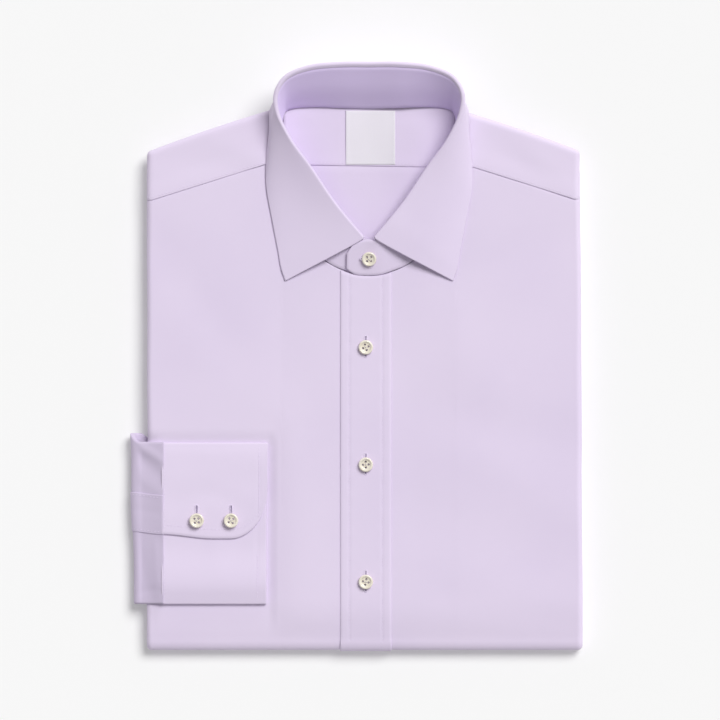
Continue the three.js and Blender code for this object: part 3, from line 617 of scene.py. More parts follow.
def body_point(c, s, depth):
    """A point on the folded body: c runs across from the centre line and on round the side fold, s runs
    along it towards the collar and on round the bottom fold, and depth goes in from the outer face."""
    side = np.where(c < 0, -1.0, 1.0)
    y = np.maximum(s, FOLD_Y)
    bend = np.clip((FOLD_Y - s) / BOTTOM_RADIUS, 0, math.pi)
    full = EDGE_RADIUS * (1 + 0.06 * np.sin(s / 33 + 2 * side) + 0.04 * np.sin(s / 14.5 + side))
    edge = mix(full, UNDER_EDGE_RADIUS, smooth(bend, 0.45 * math.pi, 0.9 * math.pi))
    flat = body_half_width(side, y) - edge + side_drift(side, s)
    over = np.maximum(0, np.abs(c) - FLAT_HALF_WIDTH)
    turn = over / EDGE_RADIUS
    reach = edge - depth
    share = np.minimum(np.abs(c), FLAT_HALF_WIDTH) / FLAT_HALF_WIDTH
    draw_in = (FLAT_HALF_WIDTH - flat) * share**4
    x = side * np.where(over > 0, flat + reach * np.sin(turn), np.abs(c) - draw_in)
    deep = np.where(over > 0, edge - reach * np.cos(turn), depth)
    beyond = np.maximum(0, FOLD_Y - s - BOTTOM_TURN)
    radius = BOTTOM_RADIUS - deep - placket_recess(x, bend)
    swell = (plain_height(x, FOLD_Y) - STACK) * np.maximum(0, np.cos(bend))
    wrapped = s < FOLD_Y
    out_y = np.where(wrapped, FOLD_Y - radius * np.sin(bend) + beyond, y)
    hollow = cuff_hollow(x, y) * (1 - np.clip(deep / (2 * EDGE_RADIUS), 0, 1))
    round_z = BOTTOM_RADIUS + radius * np.cos(bend) + swell
    return stack(x, out_y, np.where(wrapped, round_z, plain_height(x, y) - deep - hollow))


# Steps down a front or the placket: to the bottom fold, round it, and on below the stack
DOWN_STOPS = [(1, 0.009), (1 + BOTTOM_TURN / (BOTTOM_TURN + UNDER_RUN), 0.03), (2, 0.1)]


def down_body(top, v):
    """Place along the body: v from 0 to 1 runs from the top to the bottom fold, and to 2 on below."""
    return np.where(v <= 1, mix(top, FOLD_Y, v), FOLD_Y - (v - 1) * (BOTTOM_TURN + UNDER_RUN))


def front_panel(side):
    """One front, from the centre line over the side fold, and from the neck and yoke seam down under the
    bottom fold."""
    far = FLAT_HALF_WIDTH + SIDE_TURN
    across = side * stations(FRONT_MEETING_X * side + GAP / 2, (59, 3), (72, 1), (150, 3), (far, 0.7))
    c, v = np.meshgrid(across, stations(0, (0.06, 0.003), *DOWN_STOPS))
    x = side * np.minimum(np.abs(c), FLAT_HALF_WIDTH)
    w = np.abs(x - COLLAR_X)
    seam = yoke_seam_y(x)
    top = np.where(w < NECK_HALF_WIDTH, np.minimum(neck_front_y(w), seam), seam + SEAM_UNDER)
    s = down_body(top, v)
    points = body_point(c, s, BODY_PLY / 2)
    plain = points.copy()
    fade = smooth(points[..., 2], STACK - 4, STACK - 0.5) * smooth(s, FOLD_Y - 3, FOLD_Y + 12)
    high = creases(FRONT_CREASES, stack(points[..., 0], np.minimum(s, seam + 3), 0)) * fade
    sunk = SEAM_STEP * 0.6 * smooth(s, seam - 1.2, seam + 0.6) * (w >= NECK_HALF_WIDTH)
    points += grid_normals(points) * (high - sunk)[..., None] * -side
    name = sided("front", side)
    piece = finished(shell(name + "_cloth", points, BODY_PLY, SHIRT, -side), name)
    cut = (np.ptp(across), s.max() - s.min())
    sheet(plain, flat=cut)


def yoke_grid(side, c, v, depth):
    flat = body_half_width(side, SHOULDER_EDGE_Y) - EDGE_RADIUS
    slant = math.hypot(1, SHOULDER_SLOPE)
    normal = (SHOULDER_SLOPE / slant, 1 / slant)
    share = np.minimum(1, v)
    neck = mix(NECK_HALF_WIDTH + GAP, NECK_TOP_HALF_WIDTH, share) + side * COLLAR_X
    a = np.maximum(0, c - 1) * SIDE_TURN
    b = np.maximum(0, v - 1) * SIDE_TURN
    x = mix(neck, flat, np.minimum(1, c))
    y = mix(yoke_seam_y(x) + GAP / 2, shoulder_y(x) - EDGE_RADIUS * slant, share)
    far = np.maximum(a, b)
    turn = far / EDGE_RADIUS
    reach = EDGE_RADIUS - depth
    dx = a + b * normal[0]
    dy = b * normal[1]
    size = np.maximum(np.hypot(dx, dy), 1e-9)
    out = np.where(far > 0, reach * np.sin(turn), 0)
    deep = np.where(far > 0, EDGE_RADIUS - reach * np.cos(turn), depth)
    px = side * (x + out * dx / size)
    py = y + out * dy / size
    px = px + side * side_drift(side, py) * np.minimum(1, c) ** 6
    return stack(px, py, front_height(px, py) - deep)


def yoke_half(side):
    """One half of the outer yoke, its seamed edge lying a little over the front."""
    c, v = np.meshgrid(stations(0, (1, 0.02), (2, 0.1)), stations(0, (0.12, 0.02), (1, 0.05), (2, 0.1)))
    points = yoke_grid(side, c, v, BODY_PLY / 2)
    plain = points.copy()
    rise = SEAM_STEP * (1 - smooth(v, 0.06, 0.5)) + creases(YOKE_CREASES, points)
    points[..., 2] += rise * smooth(points[..., 2], STACK - 4, STACK - 0.6)
    name = sided("yoke", side)
    piece = finished(shell(name + "_cloth", points, BODY_PLY, SHIRT, side), name)
    sheet(plain, [yoke_row(side)])


def yoke_row(side):
    """Edge stitches just above a front yoke seam."""
    c = np.linspace(0.02, 1.6, 160)
    v = np.full_like(c, EDGESTITCH / 36)
    line = yoke_grid(side, c, v, 0.0)
    normals = unit(line - yoke_grid(side, c, v, 1.0))
    line[:, 2] += SEAM_STEP + creases(YOKE_CREASES, line)
    return stitches(sided("yoke", side) + "_stitches", [(line, normals)])


def placket():
    """The front placket, with rounded folded edges that sink a little at its two stitch lines."""
    left = PLACKET_X - PLACKET_HALF_WIDTH
    right = PLACKET_X + PLACKET_HALF_WIDTH
    xs = stations(left, (left + 9, 0.6), (right - 9, 2.5), (right, 0.6))
    x, v = np.meshgrid(xs, stations(0, *DOWN_STOPS))
    s = down_body(neck_front_y(x - COLLAR_X) - 2 * GAP, v)
    inset = PLACKET_HALF_WIDTH - np.abs(x - PLACKET_X)
    pressed = 0.22 * np.exp(-((inset - TOPSTITCH) ** 2)) + 0.35 * np.exp(-((inset / 0.8) ** 2))
    pucker = 0.07 * np.sin(s / 2.3) * np.exp(-(((inset - TOPSTITCH) / 2.5) ** 2))
    points = body_point(x, s, PLACKET_PLY / 2 - PLACKET_TOP)
    plain = points.copy()
    points[..., 2] += np.where(v <= 1, pucker - pressed, 0)
    piece = finished(shell("placket_cloth", points, PLACKET_PLY, SHIRT, -1), "placket")
    holes = [part for k in range(3) for part in front_buttonhole(k)]
    sheet(plain, [placket_rows(), *holes])


def inside_point(x, y):
    points = stack(x, y, INSIDE_Z - BODY_PLY / 2)
    points[..., 2] += creases(INSIDE_CREASES, points) * (1 - smooth(y, 182, 194))
    return points


def lining_seam_y(x):
    return BACK_YOKE_SEAM_Y - 0.016 * (x - COLLAR_X) + 0.3


def inside_panels():
    """The inner yoke and the inside of the back, with the yoke's edge over the back."""
    xs = np.linspace(COLLAR_X - INSIDE_HALF_WIDTH, COLLAR_X + INSIDE_HALF_WIDTH, 56)
    x, y = np.meshgrid(xs, stations(BACK_LOW_Y, (BACK_YOKE_SEAM_Y + SEAM_UNDER, 2.5)))
    points = inside_point(x, y)
    points[..., 2] -= SEAM_STEP * smooth(y, BACK_YOKE_SEAM_Y - 2, BACK_YOKE_SEAM_Y + 1)
    back = finished(shell("back_cloth", points, BODY_PLY, SHIRT), "back")
    sheet(inside_point(x, y))
    x, v = np.meshgrid(xs, stations(0, (0.1, 0.02), (1, 0.06)))
    y = mix(lining_seam_y(x), NECK_TOP_Y + 3.5, v)
    points = inside_point(x, y)
    points[..., 2] += 0.25 * (1 - smooth(v, 0.02, 0.25))
    lining = finished(shell("yoke_lining_cloth", points, BODY_PLY, SHIRT), "yoke_lining")
    sheet(inside_point(x, y), [lining_row()])


def lining_row():
    x = np.linspace(COLLAR_X - 55, COLLAR_X + 55, 80)
    line = inside_point(x, lining_seam_y(x) + EDGESTITCH)
    line[:, 2] += BODY_PLY / 2 + 0.25
    return stitches("yoke_lining_stitches", [flat_path(line)])


# The collar

class Curve:
    """Smooth curve through uneven points. It takes arrays from 0 to 1."""

    def __init__(self, points):
        p = np.array(points, float)
        p = np.vstack([2 * p[0] - p[1], p, 2 * p[-1] - p[-2]])
        gap = np.sqrt(np.linalg.norm(np.diff(p, axis=0), axis=1))[:, None]
        before, here, after = gap[:-2], gap[1:-1], gap[2:]
        a, b, c, d = p[:-3], p[1:-2], p[2:-1], p[3:]
        first = ((b - a) / before - (c - a) / (before + here) + (c - b) / here) * here
        second = ((c - b) / here - (d - b) / (here + after) + (d - c) / after) * here
        self.parts = [b, first, 3 * (c - b) - 2 * first - second, 2 * (b - c) + first + second]

    def at(self, u):
        count = len(self.parts[0])
        place = np.clip(np.asarray(u, float), 0, 1) * count
        k = np.minimum(place.astype(int), count - 1)
        t = (place - k)[..., None]
        return sum(part[k] * t**n for n, part in enumerate(self.parts))


def band_lift(w):
    return BAND_LIFT * (1 - smooth(w, BAND_LIFT_FULL, BAND_LIFT_NONE))


def collar_curve(column):
    def half(side):
        found = []
        for section in COLLAR_SECTIONS:
            w, y, z = section[column]
            x = COLLAR_X + side * w
            lift = band_lift(w) if side > 0 and column != "edge" else 0
            found.append((x, y, (float(front_height(x, y)) + LEAF_REST if z is None else z) + lift))
        return found

    return Curve(half(-1) + half(1)[:-1][::-1])


FOLD = collar_curve("fold")
EDGE = collar_curve("edge")
SEAM = collar_curve("seam")


def collar_frame(u):
    fold = FOLD.at(u)
    along = unit(FOLD.at(np.minimum(1, u + 0.002)) - FOLD.at(np.maximum(0, u - 0.002)))
    down = unit(SEAM.at(u) - fold)
    out = unit(np.cross(along, down))
    return down, out, fold + down * ROLL_RADIUS - out * ROLL_RADIUS


def hermite(a, b, start, end, t):
    t2 = t * t
    t3 = t2 * t
    ease = 3 * t2 - 2 * t3
    return (1 - ease) * a + ease * b + (t3 - 2 * t2 + t) * start + (t3 - t2) * end


def leaf_point(u, v):
    """Middle of the leaf: v to -1 is the flap inside, to 0 the roll, and to 1 the leaf itself."""
    down, out, base = collar_frame(u)
    v = v[..., None]
    turn = (np.clip(v, -1, 0) + 1) * math.pi
    below = -np.minimum(v + 1, 0) * ROLL_FLAP - ROLL_RADIUS * np.sin(turn)
    rolled = base + down * below + out * ROLL_RADIUS * (1 - np.cos(turn))
    start = base + out * 2 * ROLL_RADIUS
    end = EDGE.at(u)
    chord = end - start
    droop = mix(BACK_DROOP, FRONT_DROOP, smooth(np.abs(2 * u - 1), 0.5, 0.95))[..., None]
    fall = down * droop * np.linalg.norm(chord, axis=-1, keepdims=True)
    leaf = hermite(start, end, fall, chord * 0.9, np.clip(v, 0, 1))
    return np.where(v <= 0, rolled, leaf)


LEAF_BULGES = [(0.14, 0.1, -1.9), (0.88, 0.08, 0.8)]  # place round the collar, half width, height


def collar_leaf():
    """The turned down collar: a rolled fold and two points, a little uneven in its fall."""
    us = stations(0, (0.03, 0.0015), (0.97, 0.006), (1, 0.0015))
    u, v = np.meshgrid(us, stations(-2, (-1, 0.34), (0, 0.1), (0.8, 0.05), (1, 0.0125)))
    points = leaf_point(u, v)
    plain = points.copy()
    normals = grid_normals(points)
    normals *= np.where(normals[..., 2:] < 0, -1.0, 1.0)
    bulge = 0.8 * np.sin(7.5 * u + 0.6) * smooth(np.abs(2 * u - 1), 0.35, 0.6)
    for place, wide, peak in LEAF_BULGES:
        bulge = bulge + peak * np.exp(-(((u - place) / wide) ** 2))
    points += normals * (bulge * np.sin(math.pi * np.clip(v, 0, 1)) ** 2)[..., None]
    piece = finished(shell("collar_leaf_cloth", points, COLLAR_PLY, COLLAR, -1), "collar_leaf")
    sheet(plain, [leaf_rows()])


def band_line(top):
    def end(side):
        found = []
        for past, top_y, seam_y in BAND_END_SECTIONS:
            y = top_y if top else seam_y
            z = BAND_SEAM_Z + BAND_FRONT_SLOPE * (y - BAND_SEAM_Y) + (BAND_LIFT if side > 0 else 0)
            found.append((COLLAR_X - side * past, y, z))
        return found

    u = np.linspace(0, 1, 4 * (len(COLLAR_SECTIONS) - 1) + 1)
    if top:
        down, _, base = collar_frame(u)
        line = base + down * (ROLL_FLAP + 2 * GAP)
    else:
        line = SEAM.at(u)
    return Curve(end(-1) + line.tolist() + end(1)[::-1])


BAND_TOP = band_line(True)
BAND_SEAM = band_line(False)


def band_point(u, v):
    return mix(BAND_TOP.at(u), BAND_SEAM.at(u), v[..., None])


def collar_stand():
    """The band that stands round the neck, a little bowed, with painted violet shade on its back and its
    front ends in the leaf's tone.
    """
    u, v = np.meshgrid(np.linspace(0, 1, 150), np.linspace(0, 1, 14))
    points = band_point(u, v)
    plain = points.copy()
    round_back = smooth(0.5 - np.abs(u - 0.5), 0.12, 0.3)
    bow = 0.9 * np.sin(math.pi * v) ** 2 * np.sin(9 * u + 0.4) * round_back
    points += grid_normals(points) * bow[..., None]
    piece = finished(shell("collar_stand_cloth", points, COLLAR_PLY, SHADED_BAND_CLOTH, -1), "collar_stand")
    piece.data.materials.append(COLLAR)
    # Faces further back take the band's painted violet shade, and faces nearer the front the leaf's
    # plain cloth.
    for face in piece.data.polygons:
        face.material_index = int(face.center.y < BAND_SHADE_FRONT_Y * MM)
    sheet(plain, collar_buttonhole())


# The sleeve end and cuff

TURN_RADIUS = (SLEEVE_UPPER_Z - SLEEVE_LOWER_Z) / 2
TURN_X = SLEEVE_LEFT_X + TURN_RADIUS + SLEEVE_HALF_THICK
LOWER_RUN = SLEEVE_HIDDEN_X - TURN_X
UPPER_RUN = SLEEVE_SEAM_X - TURN_X
TURN_RUN = math.pi * TURN_RADIUS


# Places down the sleeve end, and how far its upper ply lies below the cuff's middle level at each
SEAM_DROP_PLACES = [SLEEVE_BOTTOM_Y, -150, -118, -108, -62, SLEEVE_TOP_Y]
SEAM_DROPS = [1.6, -0.4, 1.4, 0.9, 0.9, 1.9]


def sleeve_half_thickness(y):
    opened = smooth(y, SLEEVE_TOP_Y - 16, SLEEVE_TOP_Y)
    return mix(SLEEVE_FLAT_HALF_THICK, SLEEVE_HALF_THICK, opened)


def sleeve_point(run, y, out):
    """A point of the sleeve end: run along its path, y across it, and out from its middle."""
    turn = np.clip((run - LOWER_RUN) / TURN_RADIUS, 0, math.pi)
    nx = -np.sin(turn)
    nz = -np.cos(turn)
    onward = np.maximum(0, run - LOWER_RUN - TURN_RUN)
    hidden = np.maximum(0, LOWER_RUN - run)
    x = TURN_X + TURN_RADIUS * nx + onward + hidden
    half_turn = (SLEEVE_UPPER_Z - SLEEVE_LOWER_Z - SLEEVE_SINK) / 2
    climb = (SLEEVE_SINK - np.interp(y, SEAM_DROP_PLACES, SEAM_DROPS)) * (onward / UPPER_RUN) ** 1.2
    z = SLEEVE_LOWER_Z + half_turn * (1 + nz) + climb
    near = 1 - smooth(np.abs(run - LOWER_RUN - 0.25 * TURN_RUN), 0.2 * TURN_RUN, 0.7 * TURN_RUN)
    down = (SLEEVE_TOP_Y - y) / (SLEEVE_TOP_Y - SLEEVE_BOTTOM_Y)
    flare = SLEEVE_FLARE * near * (1 - smooth(down, 0, 0.25))
    draw_in = SLEEVE_DRAW_IN * smooth(down, 0.3, 0.8) * -nx
    return stack(x + nx * out + draw_in, y + flare, z + nz * out)


def sleeve_end():
    """The flattened sleeve where it comes round the left edge, open and a little curled at its top."""
    middle_y = (SLEEVE_TOP_Y + SLEEVE_BOTTOM_Y) / 2
    half = (SLEEVE_TOP_Y - SLEEVE_BOTTOM_Y) / 2
    angles = np.linspace(0, 2 * math.pi, 180, endpoint=False)
    end = LOWER_RUN + TURN_RUN + UPPER_RUN + 1.5
    angle, run = np.meshgrid(angles, stations(0, (LOWER_RUN, 3), (end, 0.8)))
    across = np.cos(angle)
    inset = SLEEVE_PLY / 2
    y = middle_y + np.sign(across) * np.minimum(1, np.abs(across) * 1.35) ** 0.8 * (half - inset)
    flat = np.minimum(1, np.abs(np.sin(angle)) * 1.9)
    out = np.sign(np.sin(angle)) * flat * (sleeve_half_thickness(y) - inset)
    points = sleeve_point(run, y, out)
    plain = points.copy()
    upper = smooth(run, LOWER_RUN + 0.8 * TURN_RUN, LOWER_RUN + 1.05 * TURN_RUN) * (out > 0)
    points[..., 2] += creases(SLEEVE_CREASES, points) * upper
    # The sleeve end wears the darkened cloth, painted shade.
    piece = finished(tube_shell("sleeve_right_cloth", points, SLEEVE_PLY, SHADED_SLEEVE_CLOTH), "sleeve_right")
    sheet(plain, closed=True)


def slit_shift(points):
    """The strip along the slit follows the sleeve's creases in part, and slants a little."""
    points[..., 2] += creases(SLEEVE_CREASES, points) * 0.6
    points[..., 1] += 2.0 * smooth(-points[..., 0], -SLEEVE_SEAM_X, -SLEEVE_LEFT_X)


def sleeve_placket():
    start = LOWER_RUN + 0.4 * TURN_RUN
    end = LOWER_RUN + TURN_RUN + UPPER_RUN + 1.0
    ys = stations(SLIT_BOTTOM_Y, (SLIT_BOTTOM_Y + 3, 0.5), (SLIT_TOP_Y - 3, 2), (SLIT_TOP_Y, 0.5))
    y, run = np.meshgrid(ys, stations(start, (end, 1)))
    points = sleeve_point(run, y, SLIT_OUT)
    plain = points.copy()
    slit_shift(points)
    # The strip wears the same darkened cloth, painted shade.
    piece = finished(shell("sleeve_placket_cloth", points, SLEEVE_PLY, SHADED_SLEEVE_CLOTH, -1), "sleeve_placket")
    sheet(plain, [sleeve_rows()])


def cuff_end_y(x):
    along = np.maximum(0, x - (CUFF_RIGHT_X - CUFF_CORNER_WIDTH)) / CUFF_CORNER_WIDTH
    bow = CUFF_CORNER_HEIGHT * (1 - np.sqrt(np.maximum(0, 1 - along * along)))
    return CUFF_OVERLAP_Y + bow + 3.2 * smooth(-x, 110, -CUFF_LEFT_X)


def cuff_point(x, v):
    """The cuff laid flat in three levels: v from 0 to 1 is the end below, to 2 the side on the front
    panel, and to 3 the end above."""
    x = x - CUFF_SHORT * smooth(x, CUFF_RIGHT_X - 40, CUFF_RIGHT_X) * (1 - smooth(v, 1.75, 2))
    low = CUFF_BOTTOM_Y + CUFF_BEND + CUFF_CLOTH / 2
    high = CUFF_TOP_Y - CUFF_TOP_BEND - CUFF_CLOTH / 2
    first = (v - 0.8) / 0.2 * math.pi
    second = (v - 1.8) / 0.2 * math.pi
    last_y = mix(high, cuff_end_y(x), np.clip(v - 2, 0, 1))
    rise = smooth(high - last_y, 2, high - CUFF_UNDERLAP_Y - 6)
    base, middle, top = CUFF_LEVELS
    # Place and level along the end below, the lower fold, the side on the front, and the upper fold
    stretches = [
        (v <= 0.8, mix(CUFF_UNDERLAP_Y, low, v / 0.8), middle + 0 * v),
        (v <= 1, low - CUFF_BEND * np.sin(first), base + CUFF_BEND * (1 + np.cos(first))),
        (v <= 1.8, mix(low, high, (v - 1) / 0.8), base + 0 * v),
        (v <= 2, high + CUFF_TOP_BEND * np.sin(second), base + CUFF_TOP_BEND * (1 - np.cos(second))),
    ]
    where, ys, levels = zip(*stretches)
    y = np.select(where, ys, last_y)
    level = np.select(where, levels, mix(base + 2 * CUFF_TOP_BEND, top, rise))
    thinned = 0.35 * np.exp(-(((y - CUFF_TOP_Y) / 5) ** 2))
    near_end = 1 - smooth(y, CUFF_BOTTOM_Y + 16, CUFF_OVERLAP_Y - 4)
    full = smooth(y, CUFF_BOTTOM_Y - 1, CUFF_BOTTOM_Y + 14) * near_end
    return stack(x, y, front_height(x, y) + level * (1 - thinned) + CUFF_ROLL * full * (v < 1))


def cuff():
    corner = CUFF_RIGHT_X - CUFF_CORNER_WIDTH
    bow = corner + CUFF_CORNER_WIDTH * np.sin(np.linspace(0, math.pi / 2, 22)[1:])
    xs = np.concatenate([stations(CUFF_LEFT_X, (CUFF_LEFT_X + 4, 0.5), (corner, 2.2)), bow])
    stops = [(0.8, 0.04), (1, 0.0125), (1.8, 0.025), (2, 0.0125), (3, 0.03)]
    x, v = np.meshgrid(xs, stations(0, *stops))
    points = cuff_point(x, v)
    plain = points.copy()
    inset = CUFF_RIGHT_X - x
    pressed = 0.16 * np.exp(-(((inset - TOPSTITCH) / 1.2) ** 2))
    lift = creases(CUFF_CREASES, points) - pressed
    points[..., 2] += lift * np.where((v < 0.8) | (v > 2), smooth(np.abs(v - 1.4), 0.6, 0.9), 0)
    piece = finished(shell("cuff_right_cloth", points, CUFF_PLY, SHIRT), "cuff_right")
    holes = [part for k in range(len(CUFF_BUTTON_XS)) for part in cuff_buttonhole(k)]
    length = np.linalg.norm(np.diff(plain[:, 0], axis=0), axis=-1).sum()
    parts = [cuff_rows(), *holes]
    sheet(plain, parts, flat=(np.ptp(xs), length))


# The label and the hidden layers

def label():
    """The bare woven label, its two sides folded, a little raised and held by stitches."""
    xs = np.linspace(LABEL_LEFT_X, LABEL_RIGHT_X, 40)
    x, y = np.meshgrid(xs, np.linspace(LABEL_BOTTOM_Y, LABEL_TOP_Y, 34))
    inset = np.minimum(x - LABEL_LEFT_X, LABEL_RIGHT_X - x)
    plain = inside_point(x, y)
    points = plain.copy()
    points[..., 2] += LABEL_REST + 0.2 * np.exp(-((inset / 2.4) ** 2)) + 0.1 * np.sin(x / 5 + y / 11)
    piece = shell("neck_label_cloth", points, LABEL_PLY, LABEL)
    finished(piece, "neck_label", slot="label_cloth")
    sheet(plain, [label_rows()])


# Layers of the lower stack: bottom, top, insets from the body's edge and the shoulder, phase of waves
LOWER_LAYERS = [
    (0, 2.75, 0.5, 9, 0.3),
    (2.6, 5.25, 1.7, 12, 2.1),
    (5.1, 7.8, 0.8, 7, 4.4),
]


def outline(inset, low_y, shoulder, count):
    """Even points round the folded body's outline, drawn in, with its corners eased."""
    left = BODY_HALF_WIDTH - inset
    right_low = float(body_half_width(1, low_y)) - inset
    right = float(body_half_width(1, SHOULDER_EDGE_Y)) - inset
    corners = [
        (-left, low_y),
        (right_low, low_y),
        (right, float(shoulder_y(right)) - shoulder),
        (NECK_TOP_HALF_WIDTH, NECK_TOP_Y - shoulder),
        (-NECK_TOP_HALF_WIDTH, NECK_TOP_Y - shoulder),
        (-left, float(shoulder_y(left)) - shoulder),
    ]
    p = np.array(corners + corners[:1], float)
    run = np.concatenate([[0], np.cumsum(np.linalg.norm(np.diff(p, axis=0), axis=1))])
    at = np.linspace(0, run[-1], count, endpoint=False)
    line = np.stack([np.interp(at, run, p[:, 0]), np.interp(at, run, p[:, 1])], axis=-1)
    for _ in range(3):
        line = (np.roll(line, 1, axis=0) + line * 2 + np.roll(line, -1, axis=0)) / 4
    return line, run[-1]


def hidden_layer(number, bottom, top, inset, shoulder, phase):
    """One folded layer of the lower stack: two plies joined by a round fold all along their edge."""
    radius = (top - bottom) / 2 - SLEEVE_PLY / 2
    low_y = FOLD_Y + (UNDER_RUN + 1 if number == 0 else -2.5)
    line, length = outline(inset + radius, low_y, shoulder, 420)
    along = np.arange(len(line)) / len(line) * length
    drift = 0.9 * np.sin(along / 47 + phase) + 0.5 * np.sin(along / 19 + 2.3 * phase)
    wave = (0.12 if number else 0) * np.sin(along / 31 + phase)
    around = np.roll(line, -1, axis=0) - np.roll(line, 1, axis=0)
    outward = unit(np.stack([around[:, 1], -around[:, 0]], axis=-1))
    shares = [1, 0.7, 0.4, 0.15, 0.05, 0.015]
    rows = [(share, 0.0, 1.0) for share in shares]
    rows += [(0.0, math.sin(angle), math.cos(angle)) for angle in np.linspace(0, math.pi, 11)]
    rows += [(share, 0.0, -1.0) for share in shares[::-1]]
    points = []
    for share, out, up in rows:
        push = out * radius + np.minimum(drift, 0.4) * (share < 0.1)
        flat = mix(line, np.array([0.0, 10.0]), share) + outward * push[..., None]
        points.append(stack(flat[:, 0], flat[:, 1], (top + bottom) / 2 + up * radius + wave))
    points = np.array(points)
    points[..., 2] = np.maximum(points[..., 2], SLEEVE_PLY / 2)
    piece = tube_shell(f"hidden_layer_{number + 1}", points, SLEEVE_PLY, SHIRT, -1)
    size = np.ptp(points, axis=(0, 1))
    sheet(points, closed=True, flat=(size[0], 2 * size[1]))
    return piece


def hidden_layers():
    pieces = [hidden_layer(number, *layer) for number, layer in enumerate(LOWER_LAYERS)]
    finished(pieces[0], "folded_layers")
    for piece in pieces[1:]:
        finished(piece)


# Sewing

def flat_path(line):
    return line, np.tile([0.0, 0.0, 1.0], (len(line), 1))


def stitches(name, paths, material=None, radius=STITCH_RADIUS, pitch=STITCH_PITCH, length=STITCH_LENGTH):
    """Rows of raised stitches. A path is (points, normals) along one row."""
    points = []
    faces = []
    sides = STITCH_SIDES
    for line, normals in paths:
        run = np.concatenate([[0], np.cumsum(np.linalg.norm(np.diff(line, axis=0), axis=1))])
        for start in np.arange(0.3, run[-1] - length, pitch):
            ends = start + np.array([0, 0.3, 0.7, 1]) * length
            spine = np.stack([np.interp(ends, run, line[:, k]) for k in range(3)], axis=-1)
            up = unit(np.stack([np.interp(ends, run, normals[:, k]) for k in range(3)], axis=-1))
            side = unit(np.cross(spine[3] - spine[0], up[1]))
            base = len(points)
            last = base + 1 + 2 * sides
            points.append(spine[0] - up[0] * radius * 0.6)
            for k in (1, 2):
                for angle in 2 * math.pi * np.arange(sides) / sides:
                    shift = side * math.cos(angle) + up[k] * (math.sin(angle) + 0.25)
                    points.append(spine[k] + shift * radius)
            points.append(spine[3] - up[3] * radius * 0.6)
            for n in range(sides):
                a = base + 1 + n
                b = base + 1 + (n + 1) % sides
                faces += [[base, a, b], [a, a + sides, b + sides, b], [last, b + sides, a + sides]]
    return finished(mesh_object(name, points, faces, material or THREAD))


def placket_rows():
    paths = []
    for side in (-1, 1):
        x = PLACKET_X + side * (PLACKET_HALF_WIDTH - TOPSTITCH)
        s = np.linspace(float(neck_front_y(x - COLLAR_X)) - 4, FOLD_Y - BOTTOM_TURN - 4, 260)
        line = body_point(x + 0 * s, s, 0.2 - PLACKET_TOP)
        paths.append((line, unit(line - body_point(x + 0 * s, s, 1.2 - PLACKET_TOP))))
    return stitches("placket_stitches", paths)


def leaf_rows():
    """Topstitch along the leaf's front edges and its long edge."""
    def edge_share(u):
        return 1 - TOPSTITCH / np.linalg.norm(EDGE.at(u) - FOLD.at(u), axis=-1)

    inner = 0.02
    u = np.linspace(inner, 1 - inner, 500)
    front = np.linspace(0.12, float(edge_share(np.array([inner]))[0]), 60)
    us = np.concatenate([np.full(60, inner), u[1:-1], np.full(60, 1 - inner)])
    vs = np.concatenate([front, edge_share(u)[1:-1], front[::-1]])
    points = leaf_point(us, vs)
    step = 0.004
    along = leaf_point(np.clip(us + step, 0, 1), vs) - leaf_point(np.clip(us - step, 0, 1), vs)
    across = leaf_point(us, vs + step) - leaf_point(us, vs - step)
    normals = -unit(np.cross(along, across))
    return stitches("collar_stitches", [(points + normals * COLLAR_PLY * 0.47, normals)])


def cuff_rows():
    """Stitches along the sleeve seam, the right edge and the end that lies above."""
    edges = (CUFF_LEFT_X + EDGESTITCH, CUFF_RIGHT_X - TOPSTITCH)
    above = np.linspace(2.03, 2.97, 120)
    below = np.linspace(0.42, 0.78, 60)
    end_x = np.linspace(CUFF_LEFT_X + 3, CUFF_RIGHT_X - TOPSTITCH, 120)
    length = cuff_point(end_x, np.full_like(end_x, 2.0))[:, 1] - cuff_end_y(end_x)
    rows = [(np.full_like(above, x), above, smooth(above, 2, 2.3)) for x in edges]
    rows.append((end_x, 3 - TOPSTITCH / length, 1))
    rows += [(np.full_like(below, x), below, 0) for x in edges]
    paths = []
    for x, v, creased in rows:
        line = cuff_point(x, v)
        line[:, 2] += CUFF_PLY / 2 + creases(CUFF_CREASES, line) * creased
        paths.append(flat_path(line))
    return stitches("cuff_stitches", paths)


def sleeve_rows():
    run = np.linspace(LOWER_RUN + 0.5 * TURN_RUN, LOWER_RUN + TURN_RUN + UPPER_RUN, 60)
    paths = []
    for y in (SLIT_TOP_Y - 1.6, SLIT_BOTTOM_Y + 1.6):
        line = sleeve_point(run, y + 0 * run, SLIT_OUT + SLEEVE_PLY / 2)
        slit_shift(line)
        paths.append((line, unit(line - sleeve_point(run, y + 0 * run, 0.0))))
    return stitches("sleeve_stitches", paths)


def label_rows():
    paths = []
    inset = 1.1
    y = np.linspace(LABEL_BOTTOM_Y + 0.8, LABEL_TOP_Y - 0.8, 60)
    for x in (LABEL_LEFT_X + inset, LABEL_RIGHT_X - inset):
        line = inside_point(np.full_like(y, x), y)
        line[:, 2] += LABEL_REST + 0.15 + LABEL_PLY / 2
        paths.append(flat_path(line))
    return stitches("label_stitches", paths, LABEL_THREAD, radius=0.14, pitch=2.2, length=1.5)


# Buttons and buttonholes

# Half section of a button from the middle of its back to the middle of its dish, as shares of its radius
# and height
BUTTON_PROFILE = [
    (0, 0), (0.78, 0), (0.93, 0.1), (1, 0.38), (1, 0.62), (0.965, 0.86), (0.9, 0.97), (0.82, 1),
    (0.75, 0.95), (0.69, 0.82), (0.62, 0.66), (0.52, 0.58), (0.3, 0.55), (0, 0.54),
]


